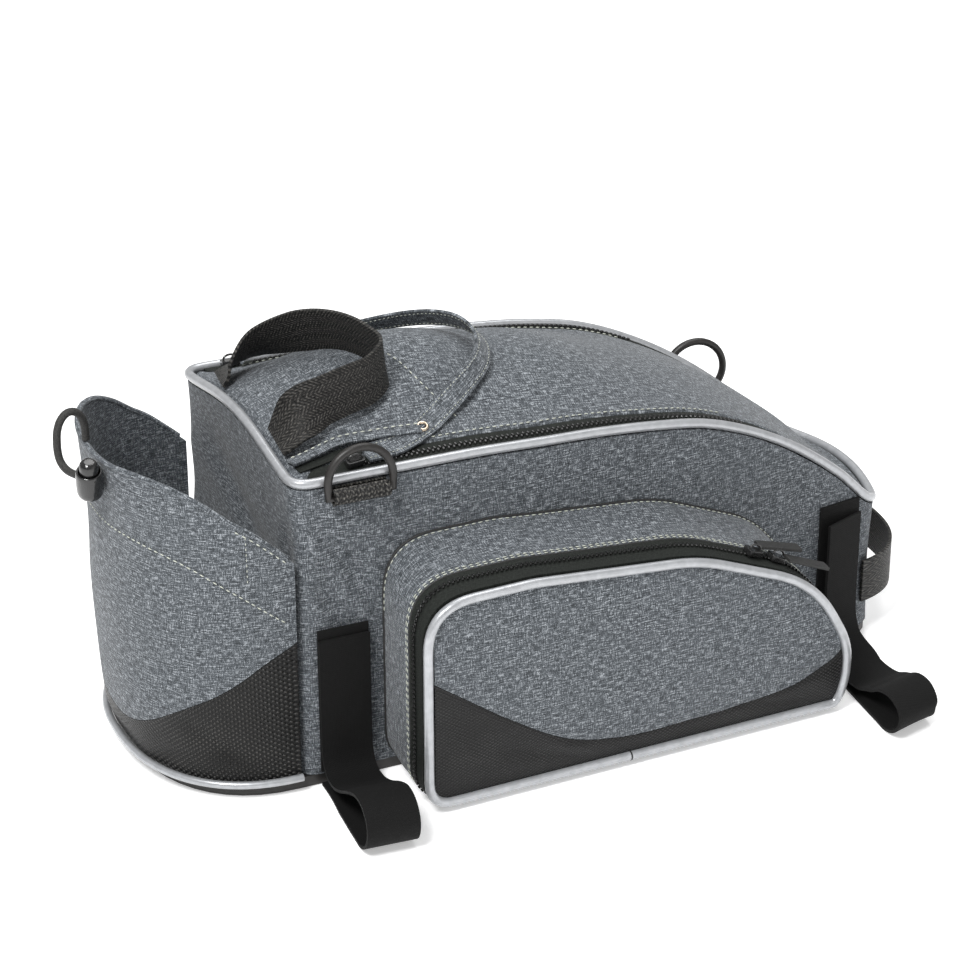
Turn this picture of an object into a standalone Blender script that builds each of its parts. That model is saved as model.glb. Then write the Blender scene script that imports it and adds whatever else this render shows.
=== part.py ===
"""Bicycle trunk bag: a wedge-shaped soft bag with side pockets, a bottle pocket, carry handle and straps.

Metres, +Z up. +X is the low front end, -X the bottle pocket, -Y the near long side.
While modelling, x is measured from the rear wall and y from the middle plane. The last
function moves everything so that the bag stands on the origin, at the middle of its box.
"""

import math

import bmesh
import bpy
import numpy as np
from mathutils import Matrix, Vector

# Driving dimensions of the main body
BODY_LENGTH = 0.346
REAR_WIDTH = 0.160
FRONT_WIDTH = 0.118
REAR_HEIGHT = 0.168
FRONT_HEIGHT = 0.082
FRONT_BOW = 0.014
LID_CROWN = 0.032
WALL = 0.004
REAR_CORNER = 0.012
FRONT_CORNER = 0.012
BASE_HEIGHT = 0.006
BASE_INSET = 0.001
LID_THICKNESS = 0.003
GAP = 0.0003

# Piping, zips and sliders
PIPING = 0.005
PIPING_INSET = 0.001
ZIP_WIDTH = 0.010
TAPE = 0.0014
TAPE_DROP = 0.0004
SLIDER_LENGTH = 0.010
SLIDER_WIDTH = 0.0075
SLIDER_HEIGHT = 0.0032
ZIP_REAR = 0.004
ZIP_RAMP_REAR = 0.014
ZIP_FRONT = 0.012
ZIP_RAMP_FRONT = 0.060
NEAR_SLIDER = 0.104
FAR_SLIDER = 0.0694
BESIDE_PIPING = PIPING_INSET + PIPING / 2 + 2 * GAP

# Opening band and carry handle
BAND_WIDTH = 0.012
BAND_THICKNESS = 0.0014
RIVET = 0.0065
RIVET_HEIGHT = 0.0012
RIVET_BORE = 0.0032
HANDLE_WIDTH = 0.026
HANDLE_THICKNESS = 0.0016

# Bottle pocket
BOTTLE_DEPTH = 0.074
BOTTLE_ROUNDNESS = 2.3
BOTTLE_WALL = 0.0022
BOTTLE_LOW = 0.127
BOTTLE_TIP = 0.172
BOTTLE_LAP = 0.0028
FOOT_LOW = 0.026
FOOT_HIGH = 0.084
FOOT_PIPING = 0.004

# Elastic cord and its lock
CORD = 0.004
LOCK_DIAMETER = 0.014
LOCK_LENGTH = 0.017
LOCK_BORE = 0.0108
LOCK_FLOOR = 0.003
BUTTON_CLEARANCE = 0.0004
BUTTON_STROKE = 0.004
BUTTON_PROUD = 0.0062

# Side pockets
POCKET_START = 0.046
POCKET_LENGTH = 0.245
POCKET_HEIGHT = 0.115
POCKET_LOW = 0.0032
POCKET_DEPTH = 0.050
POCKET_TOE = 0.004
POCKET_FLARE = 1.075
POCKET_WALL = 0.0022
POCKET_DOME = 0.005
PANEL_THICKNESS = 0.0025
PIPING_LAP = 0.0006
PULL_LENGTH = 0.027
PULL_WIDTH = 0.0065
PULL_THICKNESS = 0.0016
GUSSET_END = 0.62
ZIP_END = 0.93
ZIP_MIDDLE = 0.74
SLIDER_PLACES = (("rear", 0.776, 1.0), ("front", 0.833, -1.0))

# D-rings
RING_WIDTH = 0.038
RING_HEIGHT = 0.0262
RING_WIRE = 0.0042
RING_CLEARANCE = 0.0005
RING_DROP = 0.0078
TAB_WIDTH = 0.029
TAB_HEIGHT = 0.015
TAB_WEB = 0.0013
NEAR_RING_X = 0.0335
FAR_RING_BACK = 0.043

# Hook-and-loop straps and front band
STRAP_WIDTH = 0.027
STRAP_THICKNESS = 0.0016
PATCH_THICKNESS = 0.0011
PATCH_HEIGHT = 0.080
PATCH_LOW = 0.008
REAR_STRAP_REACH = 0.0736
REAR_STRAP_TOP = 0.0818
FRONT_STRAP_REACH = 0.0934
FRONT_STRAP_TOP = 0.0788
STRAP_OFF_WALL = 0.0026
STRAP_OFF_GROUND = 0.0012
REAR_STRAP_X = 0.0235
FRONT_STRAP_BACK = 0.0265
REAR_STRAP_HEADING = math.radians(-4.5)
REAR_STRAP_TURN = math.radians(-4.5)
FRONT_STRAP_HEADING = math.radians(-15.0)
FRONT_STRAP_TURN = math.radians(6.0)
FRONT_STRAP_TWIST = math.radians(13.0)
FRONT_BAND_WIDTH = 0.025
FRONT_BAND_LOW = 0.022
FRONT_BAND_BOW = 0.018
FRONT_BAND_THICKNESS = 0.0016

# Sections of the body from rear to front. along is a share of BODY_LENGTH, height of the step
# from FRONT_HEIGHT to REAR_HEIGHT, width of the step from FRONT_WIDTH to REAR_WIDTH, crown of LID_CROWN.
SECTION_COLUMNS = ("along", "height", "width", "crown")
SECTIONS = (
    (0.00, 1.000, 1.000, 0.28),
    (0.10, 1.000, 1.000, 0.72),
    (0.20, 1.000, 1.000, 0.98),
    (0.29, 0.998, 1.000, 0.98),
    (0.38, 0.985, 1.000, 0.80),
    (0.48, 0.965, 0.940, 0.68),
    (0.57, 0.930, 0.880, 0.44),
    (0.66, 0.865, 0.760, 0.25),
    (0.75, 0.725, 0.585, 0.17),
    (0.84, 0.520, 0.400, 0.15),
    (0.92, 0.280, 0.210, 0.15),
    (1.00, 0.000, 0.000, 0.10),
    (1.06, -0.030, -0.120, 0.06),
)

# Front outline of a side pocket, seen from outside. along and up are shares of its length
# and height, radius is the corner's fillet as a share of the height.
POCKET_CORNERS = (
    ("lower rear", 0.000, 0.000, 0.14),
    ("upper rear", 0.000, 0.995, 0.24),
    ("crest", 0.240, 1.003, 0.60),
    ("shoulder", 0.620, 0.930, 0.90),
    ("brow", 0.905, 0.685, 0.70),
    ("nose", 1.012, 0.280, 0.50),
    ("lower front", 0.980, -0.035, 0.16),
)

# Seam between the grey and the black front panel of a side pocket, as shares.
POCKET_SEAM = ((0.00, 0.64), (0.08, 0.52), (0.18, 0.37), (0.33, 0.185), (0.44, 0.132), (0.62, 0.130),
               (0.78, 0.15), (0.88, 0.19), (0.95, 0.255), (1.00, 0.32))

# How the bottle pocket widens from its foot. up is a share of BOTTLE_TIP, depth of BOTTLE_DEPTH.
BOTTLE_FLARE = ((0.00, 0.885), (0.03, 0.900), (0.09, 0.945), (0.16, 0.963), (0.35, 0.987), (0.51, 1.000),
                (0.76, 0.995), (0.96, 1.025), (1.00, 1.030))

# Mouth and mesh seam of the bottle pocket: the way out from the body's wall, and the height
# between BOTTLE_LOW and BOTTLE_TIP, or between FOOT_LOW and FOOT_HIGH.
MOUTH = ((0.00, 0.00), (0.14, 0.21), (0.30, 0.44), (0.42, 0.58), (0.56, 0.77), (0.75, 0.95),
         (0.91, 1.00), (1.00, 0.96))
FOOT_SEAM = ((0.00, 1.00), (0.24, 0.83), (0.40, 0.68), (0.57, 0.53), (0.70, 0.42), (0.81, 0.30), (0.93, 0.12),
             (1.00, 0.00))

# Side view of the straps: out is a share of the strap's reach past STRAP_OFF_WALL, up of its
# top past STRAP_OFF_GROUND.
REAR_STRAP_PATH = ((0.000, 1.000), (0.000, 0.719), (0.000, 0.425), (0.011, 0.205), (0.087, 0.101),
                   (0.236, 0.098), (0.427, 0.169), (0.617, 0.260), (0.780, 0.313), (0.916, 0.297),
                   (1.000, 0.211), (0.977, 0.089), (0.861, 0.012), (0.698, 0.000), (0.372, 0.000),
                   (-0.016, 0.000))
FRONT_STRAP_PATH = ((0.000, 1.000), (0.000, 0.721), (0.000, 0.416), (0.017, 0.188), (0.111, 0.080),
                    (0.347, 0.056), (0.529, 0.084), (0.647, 0.150), (0.775, 0.226), (0.893, 0.245),
                    (0.984, 0.194), (1.000, 0.086), (0.925, 0.013), (0.764, 0.000), (0.422, 0.000),
                    (-0.013, 0.000))

# The carry handle from its near end to its far end: a point of its middle line as shares of
# BODY_LENGTH and of half of REAR_WIDTH, how far its lower edge clears the lid as a share of
# RIBBON_LIFT, how far the webbing has turned from lying flat (0) to standing on edge (1), and
# how far it leans sideways when it stands.
RIBBON_LIFT = 0.002
HANDLE = (
    (0.017, -0.550, 1.10, 0.00, 0.0),
    (0.032, -0.563, 1.30, 0.25, 0.0),
    (0.058, -0.581, 1.50, 0.75, 0.0),
    (0.087, -0.594, 2.50, 1.00, 0.0),
    (0.121, -0.594, 3.25, 1.00, 0.0),
    (0.162, -0.563, 3.00, 1.00, 0.0),
    (0.191, -0.463, 2.50, 1.00, 0.1),
    (0.188, -0.300, 1.50, 1.00, 0.3),
    (0.165, -0.063, 0.80, 1.00, 0.4),
    (0.127, 0.200, 0.80, 1.00, 0.4),
    (0.081, 0.375, 1.20, 0.75, 0.3),
    (0.043, 0.450, 1.30, 0.30, 0.1),
    (0.017, 0.463, 1.10, 0.00, 0.0),
)

# The opening band from the near slider to the far one, in the same columns.
BAND = (
    (0.123, -0.850, 1.00, 0.00, 0.0),
    (0.173, -0.825, 0.90, 0.00, 0.0),
    (0.225, -0.738, 0.90, 0.00, 0.0),
    (0.277, -0.625, 1.00, 0.30, 0.0),
    (0.324, -0.506, 1.10, 0.75, 0.2),
    (0.358, -0.350, 1.10, 0.85, 0.4),
    (0.373, -0.150, 1.10, 0.85, 0.5),
    (0.361, 0.100, 1.00, 0.90, 0.5),
    (0.315, 0.388, 0.70, 0.95, 0.6),
    (0.240, 0.613, 0.80, 0.95, 0.6),
    (0.156, 0.738, 1.20, 0.90, 0.5),
    (0.107, 0.794, 1.20, 0.50, 0.2),
    (0.082, 0.825, 1.10, 0.00, 0.0),
)
BAND_STATIONS = 36

# The elastic cord, as points chosen by hand from the hem of the mouth to the side of the lock.
CORD_ROUTE = (
    (-0.0750, 0.0060, 0.1722),
    (-0.0752, 0.0058, 0.1790),
    (-0.0768, 0.0050, 0.1850),
    (-0.0804, 0.0036, 0.1890),
    (-0.0848, 0.0022, 0.1896),
    (-0.0886, 0.0008, 0.1868),
    (-0.0908, -0.0002, 0.1820),
    (-0.0915, -0.0008, 0.1765),
    (-0.0915, -0.0010, 0.1720),
    (-0.0911, -0.0021, 0.1678),
    (-0.0900, -0.0050, 0.1648),
    (-0.0885, -0.0089, 0.1636),
    (-0.0860, -0.0148, 0.1635),
)

CORD_NODES = ("elastic_cord", "cord_lock_barrel", "cord_lock_button")
SIDES = (("near", -1.0), ("far", 1.0))
GREY = (0.115, 0.130, 0.155)
DARK = (0.018, 0.018, 0.017)
TAPE_COLOUR = (0.024, 0.027, 0.025)
SILVER = (0.66, 0.67, 0.68)
PLASTIC = (0.030, 0.029, 0.027)
METAL = (0.45, 0.38, 0.30)


def clear_scene():
    for obj in list(bpy.data.objects):
        bpy.data.objects.remove(obj, do_unlink=True)


def material(name, colour, roughness, metallic=0.0):
    """One Principled material per finish, shared by the pieces that have it."""
    found = bpy.data.materials.get(name)
    if found:
        return found
    made = bpy.data.materials.new(name)
    made.use_nodes = True
    shader = made.node_tree.nodes["Principled BSDF"]
    shader.inputs["Base Color"].default_value = (*colour, 1.0)
    shader.inputs["Roughness"].default_value = roughness
    shader.inputs["Metallic"].default_value = metallic
    return made


def fabric():
    return material("melange_fabric", GREY, 0.9)


def webbing():
    return material("black_webbing", DARK, 0.85)


def silver():
    return material("reflective_piping", SILVER, 0.35, 0.3)


def add_object(name, bm, finish, smooth=True):
    """Turns a bmesh into a linked object with outward faces."""
    bmesh.ops.recalc_face_normals(bm, faces=bm.faces)
    mesh = bpy.data.meshes.new(name)
    bm.to_mesh(mesh)
    bm.free()
    if smooth:
        mesh.shade_smooth()
        mesh.set_sharp_from_angle(angle=math.radians(40))
    mesh.materials.append(finish)
    obj = bpy.data.objects.new(name, mesh)
    COLLECTION.objects.link(obj)
    return obj


def hermite(xs, ys, x):
    """A smooth curve through the points (xs, ys), read at x."""
    xs = np.asarray(xs, float)
    ys = np.asarray(ys, float)
    x = min(max(x, xs[0]), xs[-1])
    i = min(int(np.searchsorted(xs, x, side="right")) - 1, len(xs) - 2)
    slopes = np.gradient(ys, xs)
    step = xs[i + 1] - xs[i]
    t = (x - xs[i]) / step
    a = (1 + 2 * t) * (1 - t) ** 2 * ys[i] + t * (1 - t) ** 2 * step * slopes[i]
    b = t * t * (3 - 2 * t) * ys[i + 1] + t * t * (t - 1) * step * slopes[i + 1]
    return float(a + b)


def through(points, count):
    """count points of a smooth curve through the rows, evenly spaced in their first three columns."""
    points = [np.asarray(p, float) for p in points]
    padded = [2 * points[0] - points[1], *points, 2 * points[-1] - points[-2]]
    fine = []
    for p0, p1, p2, p3 in zip(padded, padded[1:], padded[2:], padded[3:]):
        for t in np.linspace(0.0, 1.0, 24, endpoint=False):
            fine.append(0.5 * (2 * p1 + (p2 - p0) * t + (2 * p0 - 5 * p1 + 4 * p2 - p3) * t**2
                               + (3 * p1 - p0 - 3 * p2 + p3) * t**3))
    fine.append(points[-1])
    fine = np.array(fine)
    steps = np.linalg.norm(np.diff(fine[:, :3], axis=0), axis=1)
    length = np.concatenate([[0.0], np.cumsum(steps)])
    wanted = np.linspace(0.0, length[-1], count)
    return np.stack([np.interp(wanted, length, fine[:, k]) for k in range(fine.shape[1])], axis=1)


def section(column, x):
    """A column of SECTIONS at the distance x from the rear wall."""
    k = SECTION_COLUMNS.index(column)
    return hermite([row[0] * BODY_LENGTH for row in SECTIONS], [row[k] for row in SECTIONS], x)


def half_width(x):
    return (FRONT_WIDTH + (REAR_WIDTH - FRONT_WIDTH) * section("width", x)) / 2


def top_height(x, y):
    """The height of the bag's top surface: the side seam plus the lid's crown."""
    seam = FRONT_HEIGHT + (REAR_HEIGHT - FRONT_HEIGHT) * section("height", x)
    across = min(abs(y) / half_width(x), 1.0)
    return seam + LID_CROWN * section("crown", x) * (1 - across**2) ** 2


def front_edge(y):
    """x of the bowed front wall at y."""
    return BODY_LENGTH + FRONT_BOW * (1 - (2 * y / FRONT_WIDTH) ** 2)


def corner(a, c, b, steps):
    """A rounded corner from a to b, drawn towards the point c."""
    a, c, b = (np.asarray(p, float) for p in (a, c, b))
    return [tuple((1 - t) ** 2 * a + 2 * t * (1 - t) * c + t**2 * b) for t in np.linspace(0, 1, steps)]


def half_plan(rear_x, steps=4):
    """The near half of the body's plan, from the rear to the middle of the front wall."""
    points = [(x, -half_width(x)) for x in np.linspace(rear_x, BODY_LENGTH - FRONT_CORNER, 17)]
    edge = -FRONT_WIDTH / 2 + FRONT_CORNER
    points += corner(points[-1], (BODY_LENGTH + 0.001, -FRONT_WIDTH / 2), (front_edge(edge), edge), steps)[1:]
    points += [(front_edge(y), y) for y in np.linspace(edge, 0.0, 4)[1:]]
    return points


def mirror_outline(points):
    """Closes a near half outline with its mirror image."""
    return points + [(x, -y) for x, y in reversed(points) if abs(y) > 1e-6]


def body_plan():
    rear = [(0.0, y) for y in np.linspace(0.0, -REAR_WIDTH / 2 + REAR_CORNER, 5)]
    turn = corner(rear[-1], (0.0, -REAR_WIDTH / 2), (REAR_CORNER, -REAR_WIDTH / 2), 5)[1:-1]
    near = rear + turn + half_plan(REAR_CORNER)
    return near + [(x, -y) for x, y in reversed(near) if abs(y) > 1e-6]


def inset_outline(points, distance):
    """Moves a closed outline inwards, by one distance or by one for each point."""
    ring = np.array(points)
    before = ring - np.roll(ring, 1, axis=0)
    after = np.roll(ring, -1, axis=0) - ring
    before /= np.linalg.norm(before, axis=1)[:, None]
    after /= np.linalg.norm(after, axis=1)[:, None]
    normal = np.stack([-(before + after)[:, 1], (before + after)[:, 0]], axis=1)
    normal /= np.linalg.norm(normal, axis=1)[:, None]
    mitre = 1 / np.maximum(np.abs(normal[:, 0] * -after[:, 1] + normal[:, 1] * after[:, 0]), 0.5)
    area = np.sum(ring[:, 0] * np.roll(ring[:, 1], -1) - np.roll(ring[:, 0], -1) * ring[:, 1])
    return ring + normal * (mitre * np.sign(area) * distance)[:, None]


def tube(name, points, diameter, finish, cyclic=False, resolution=1):
    """A round tube along the points, as a curve with a bevel."""
    curve = bpy.data.curves.new(name, "CURVE")
    curve.dimensions = "3D"
    curve.bevel_depth = diameter / 2
    curve.bevel_resolution = resolution
    curve.use_fill_caps = not cyclic
    spline = curve.splines.new("POLY")
    spline.points.add(len(points) - 1)
    for point, co in zip(spline.points, points):
        point.co = (*co, 1.0)
    spline.use_cyclic_u = cyclic
    curve.materials.append(finish)
    obj = bpy.data.objects.new(name, curve)
    COLLECTION.objects.link(obj)
    return obj


def loft(name, rings, finish, closed_ring=True, caps=True):
    """Joins rings of equal length into one skin. caps closes the first and the last ring."""
    bm = bmesh.new()
    rows = [[bm.verts.new(p) for p in ring] for ring in rings]
    for low, high in zip(rows, rows[1:]):
        count = len(low)
        for i in range(count if closed_ring else count - 1):
            j = (i + 1) % count
            bm.faces.new((low[i], low[j], high[j], high[i]))
    if caps:
        bm.faces.new(rows[0])
        bm.faces.new(rows[-1])
    return add_object(name, bm, finish)


def strip(name, centres, widths, width, thickness, finish):
    """A flat band along centres whose width lies along the vectors in widths."""
    centres = np.asarray(centres, float)
    ahead = np.gradient(centres, axis=0)
    rings = []
    for middle, along, across in zip(centres, ahead, widths):
        across = np.asarray(across, float)
        along = along / np.linalg.norm(along)
        across = across - along * np.dot(across, along)
        across /= np.linalg.norm(across)
        out = np.cross(along, across)
        w = across * width / 2
        t = out * thickness / 2
        rings.append([middle - w - t, middle + w - t, middle + w + t, middle - w + t])
    return loft(name, rings, finish)


def slab(name, grid, drop, finish):
    """A panel between a grid of points and the same grid moved by the vector drop."""
    bm = bmesh.new()
    rows = [[bm.verts.new(p) for p in row] for row in grid]
    faces = []
    for low, high in zip(rows, rows[1:]):
        for i in range(len(low) - 1):
            faces.append(bm.faces.new((low[i], low[i + 1], high[i + 1], high[i])))
    return thicken(name, bm, faces, drop, finish)


def thicken(name, bm, faces, drop, finish):
    deep = bmesh.ops.extrude_face_region(bm, geom=faces, use_keep_orig=True)
    moved = [v for v in deep["geom"] if isinstance(v, bmesh.types.BMVert)]
    bmesh.ops.translate(bm, verts=moved, vec=drop)
    return add_object(name, bm, finish)


def shell(name, outer, inner, finish, closed_ring, floor=False):
    """A wall between rings on its outside and rings on its inside."""
    bm = bmesh.new()
    sheets = [[[bm.verts.new(p) for p in ring] for ring in rings] for rings in (outer, inner)]
    count = len(outer[0])
    last = count if closed_ring else count - 1
    for rows in sheets:
        for low, high in zip(rows, rows[1:]):
            for i in range(last):
                j = (i + 1) % count
                bm.faces.new((low[i], low[j], high[j], high[i]))
    (out, inside) = sheets
    ends = [(out[-1], inside[-1])] if floor else [(out[0], inside[0]), (out[-1], inside[-1])]
    for a, b in ends:
        for i in range(last):
            j = (i + 1) % count
            bm.faces.new((a[i], a[j], b[j], b[i]))
    if floor:
        bm.faces.new(out[0])
        bm.faces.new(inside[0])
        if not closed_ring:
            for k in (0, -1):
                bm.faces.new([row[k] for row in out] + [row[k] for row in reversed(inside)])
    elif not closed_ring:
        for k in (0, -1):
            for a, b, c, d in zip(out, out[1:], inside[1:], inside):
                bm.faces.new((a[k], b[k], c[k], d[k]))
    return add_object(name, bm, finish)


def build_base():
    """Black board under the body and the bottle pocket, flat underneath."""
    body = inset_outline(mirror_outline(half_plan(0.0)), BASE_INSET)
    body = [tuple(p) for p in body if p[0] > 0.0]
    rear = [(x, y) for x, y in bottle_outline(0.0, -BASE_INSET) if x <= 0.0]
    outline = body + list(reversed(rear))
    rings = [[(x, y, z) for x, y in outline] for z in (0.0, BASE_HEIGHT)]
    return loft("base_panel", rings, material("black_base_fabric", DARK, 0.8))


def build_body():
    plan = np.array(body_plan())
    inside = inset_outline(plan, WALL)
    floor = BASE_HEIGHT + GAP
    tops = rim_heights(plan)
    outer = []
    inner = []
    for share in (0.0, 0.35, 0.7, 1.0):
        outer.append([(x, y, floor + share * (top - floor)) for (x, y), top in zip(plan, tops)])
        low = floor + WALL
        inner.append([(x, y, low + share * (top - low)) for (x, y), top in zip(inside, tops)])
    return shell("body_shell", outer, inner, fabric(), closed_ring=True, floor=True)


def piping_line():
    """The middle line of the lid piping, round the whole top edge."""
    ring = inset_outline(body_plan(), PIPING_INSET)
    return [(x, y, top_height(x, y) - PIPING_INSET / 2) for x, y in ring]


def rim_heights(plan):
    """The top of the wall under the piping, lower where the seam is steep."""
    line = np.array(piping_line())
    ahead = np.roll(line, -1, axis=0) - np.roll(line, 1, axis=0)
    flat = np.hypot(ahead[:, 0], ahead[:, 1]) / np.linalg.norm(ahead, axis=1)
    return line[:, 2] - (PIPING / 2 + 2 * GAP) / flat


def lid_margin(x):
    """How far the lid's edge lies inside the plan: beside the piping, or beside the zip."""
    opening = min((x - ZIP_REAR) / ZIP_RAMP_REAR, (BODY_LENGTH - ZIP_FRONT - x) / ZIP_RAMP_FRONT)
    ramp = min(max(opening, 0.0), 1.0)
    return BESIDE_PIPING + ZIP_WIDTH * ramp * ramp * (3 - 2 * ramp)


def build_lid():
    """Crowned lid, drawn as rings from its edge to a line along its middle."""
    plan = body_plan()
    edge = inset_outline(plan, np.array([lid_margin(x) for x, _ in plan]))
    rear, front = edge[:, 0].min(), edge[:, 0].max()
    spine = [(min(max(x, rear + REAR_WIDTH * 0.25), front - FRONT_WIDTH * 0.25), 0.0) for x, _ in edge]
    bm = bmesh.new()
    rows = []
    for share in (1.0, 0.87, 0.68, 0.46, 0.24, 0.0):
        ring = edge * share + np.array(spine) * (1 - share)
        rows.append([bm.verts.new((x, y, top_height(x, y))) for x, y in ring])
    faces = []
    count = len(edge)
    for outer, inner in zip(rows, rows[1:]):
        for i in range(count):
            j = (i + 1) % count
            faces.append(bm.faces.new((outer[i], outer[j], inner[j], inner[i])))
    bmesh.ops.remove_doubles(bm, verts=bm.verts, dist=1e-6)
    return thicken("lid_panel", bm, list(bm.faces), (0.0, 0.0, -LID_THICKNESS), fabric())


def build_lid_zip(side, sign):
    """The zip tape between the piping and the lid's edge."""
    plan = np.array(body_plan())
    margins = np.array([lid_margin(x) for x, _ in plan])
    grid = []
    for share in (0.0, 0.5, 1.0):
        ring = inset_outline(plan, BESIDE_PIPING + share * (margins - GAP - BESIDE_PIPING))
        wide = margins > BESIDE_PIPING + ZIP_WIDTH / 3
        long_side = wide & (plan[:, 1] * sign > 0) & (plan[:, 0] > 0.0)
        grid.append([(x, y, top_height(x, y) - TAPE_DROP) for x, y in ring[long_side]])
    return slab("lid_zip_" + side, grid, (0.0, 0.0, -TAPE), material("zip_tape", TAPE_COLOUR, 0.9))


def build_slider(name, matrix):
    """A zip slider: a bevelled body, wider at its mouth."""
    bm = bmesh.new()
    bmesh.ops.create_cube(bm, size=1.0)
    bmesh.ops.scale(bm, vec=(SLIDER_LENGTH, SLIDER_WIDTH, SLIDER_HEIGHT), verts=bm.verts)
    for vert in bm.verts:
        if vert.co.x > 0:
            vert.co.y *= 0.72
    upright = [e for e in bm.edges if abs((e.verts[0].co - e.verts[1].co).z) > SLIDER_HEIGHT / 2]
    bmesh.ops.bevel(bm, geom=upright, offset=SLIDER_WIDTH / 5, segments=2, profile=0.5,
                    affect="EDGES", material=-1)
    obj = add_object(name, bm, material("black_zinc_slider", PLASTIC, 0.3, 0.8))
    obj.matrix_world = matrix
    return obj


def lid_slider_place(x, sign):
    """A frame lying on a lid zip, with X along the zip."""
    y = sign * (half_width(x) - BESIDE_PIPING - ZIP_WIDTH / 2)
    lift = -TAPE_DROP + SLIDER_HEIGHT / 2 + 3 * GAP
    roll = math.atan2(top_height(x, y + 0.001) - top_height(x, y - 0.001), 0.002)
    pitch = math.atan2(top_height(x - 0.004, y) - top_height(x + 0.004, y), 0.008)
    turn = Matrix.Rotation(pitch, 4, "Y") @ Matrix.Rotation(roll, 4, "X")
    return Matrix.Translation((x, y, top_height(x, y) + lift)) @ turn


def ribbon_stations(rows, count, width):
    """Middle points and width vectors of a band whose lower edge clears the lid by lift."""
    scale = (BODY_LENGTH, REAR_WIDTH / 2, RIBBON_LIFT, 1.0, 1.0)
    table = through([np.array(row) * scale for row in rows], count)
    ahead = np.gradient(table[:, :2], axis=0)
    centres = []
    widths = []
    for (x, y, lift, on_edge, lean), along in zip(table, ahead):
        across = np.array([-along[1], along[0]]) / np.hypot(along[0], along[1])
        turn = min(max(on_edge, 0.0), 1.0) * math.pi / 2
        reach = width / 2 * max(math.cos(turn), 0.15)
        sides = [top_height(x + k * reach * across[0], y + k * reach * across[1]) for k in (-1, 0, 1)]
        level = np.array([across[0], across[1], (sides[2] - sides[0]) / (2 * reach) * math.cos(turn)])
        upright = np.array([0.0, 0.0, 1.0]) + lean * np.array([across[0], across[1], 0.0])
        upright /= np.linalg.norm(upright)
        widths.append(level * math.cos(turn) + upright * math.sin(turn))
        lid = max(sides[1], (sides[0] + sides[2]) / 2)
        centres.append((x, y, lid + lift + width / 2 * math.sin(turn) * upright[2]))
    return np.array(centres), widths


def build_handle():
    centres, widths = ribbon_stations(HANDLE, 34, HANDLE_WIDTH)
    return strip("carry_handle", centres, widths, HANDLE_WIDTH, HANDLE_THICKNESS, webbing())


def build_band():
    centres, widths = ribbon_stations(BAND, BAND_STATIONS, BAND_WIDTH)
    return strip("opening_band", centres, widths, BAND_WIDTH, BAND_THICKNESS, fabric())


def build_rivet(name, share):
    """A ring rivet through the opening band."""
    centres, widths = ribbon_stations(BAND, BAND_STATIONS, BAND_WIDTH)
    i = round(share * (len(centres) - 1))
    along = Vector(centres[i + 1] - centres[i - 1]).normalized()
    across = Vector(widths[i]).normalized()
    out = along.cross(across).normalized()
    if out.z < 0:
        out = -out
    place = Vector(centres[i]) + out * (BAND_THICKNESS / 2 + GAP)
    profile = ((RIVET_BORE / 2, 0.0), (RIVET / 2, 0.0), (RIVET / 2, RIVET_HEIGHT * 0.5),
               (RIVET / 2 - 0.0006, RIVET_HEIGHT), (RIVET_BORE / 2 + 0.0004, RIVET_HEIGHT),
               (RIVET_BORE / 2, RIVET_HEIGHT * 0.5))
    obj = turned_ring(name, profile, material("nickel_rivet", METAL, 0.3, 1.0), 10)
    obj.matrix_world = Matrix.Translation(place) @ out.to_track_quat("Z", "Y").to_matrix().to_4x4()
    return obj


def turned_ring(name, profile, finish, steps):
    """Spins a closed profile round Z."""
    bm = bmesh.new()
    verts = [bm.verts.new((r, 0.0, z)) for r, z in profile]
    edges = [bm.edges.new((a, b)) for a, b in zip(verts, verts[1:] + verts[:1])]
    bmesh.ops.spin(bm, geom=verts + edges, cent=(0, 0, 0), axis=(0, 0, 1), angle=math.tau,
                   steps=steps, use_merge=True)
    return add_object(name, bm, finish)


def turned_solid(name, profile, finish, steps):
    """Spins an open profile that starts and ends on Z."""
    bm = bmesh.new()
    verts = [bm.verts.new((r, 0.0, z)) for r, z in profile]
    edges = [bm.edges.new((a, b)) for a, b in zip(verts, verts[1:])]
    bmesh.ops.spin(bm, geom=verts + edges, cent=(0, 0, 0), axis=(0, 0, 1), angle=math.tau,
                   steps=steps, use_merge=True)
    bmesh.ops.remove_doubles(bm, verts=bm.verts, dist=1e-6)
    return add_object(name, bm, finish)


def bottle_depth(z):
    ups = [row[0] * BOTTLE_TIP for row in BOTTLE_FLARE]
    return BOTTLE_DEPTH * hermite(ups, [row[1] for row in BOTTLE_FLARE], z)


def bottle_outline(z, grow=0.0, columns=24):
    """Plan of the bottle pocket at a height, from its near seam round to its far seam."""
    depth = bottle_depth(z) + grow
    half = REAR_WIDTH / 2 + grow
    points = [(BOTTLE_LAP, -half)]
    for angle in np.linspace(-math.pi / 2, math.pi / 2, columns):
        c = abs(math.cos(angle)) ** (2 / BOTTLE_ROUNDNESS)
        s = abs(math.sin(angle)) ** (2 / BOTTLE_ROUNDNESS)
        points.append((-depth * c - GAP, math.copysign(half * s, angle)))
    points.append((BOTTLE_LAP, half))
    return points


def out_share(x):
    """0 at the body's rear wall, 1 at the outermost point of the bottle pocket."""
    return min(max(-x / BOTTLE_DEPTH, 0.0), 1.0)


def along_rows(rows, share):
    return hermite([row[0] for row in rows], [row[1] for row in rows], share)


def mouth_height(x):
    return BOTTLE_LOW + (BOTTLE_TIP - BOTTLE_LOW) * along_rows(MOUTH, out_share(x))


def foot_seam(x):
    return FOOT_LOW + (FOOT_HIGH - FOOT_LOW) * along_rows(FOOT_SEAM, out_share(x))


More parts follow.
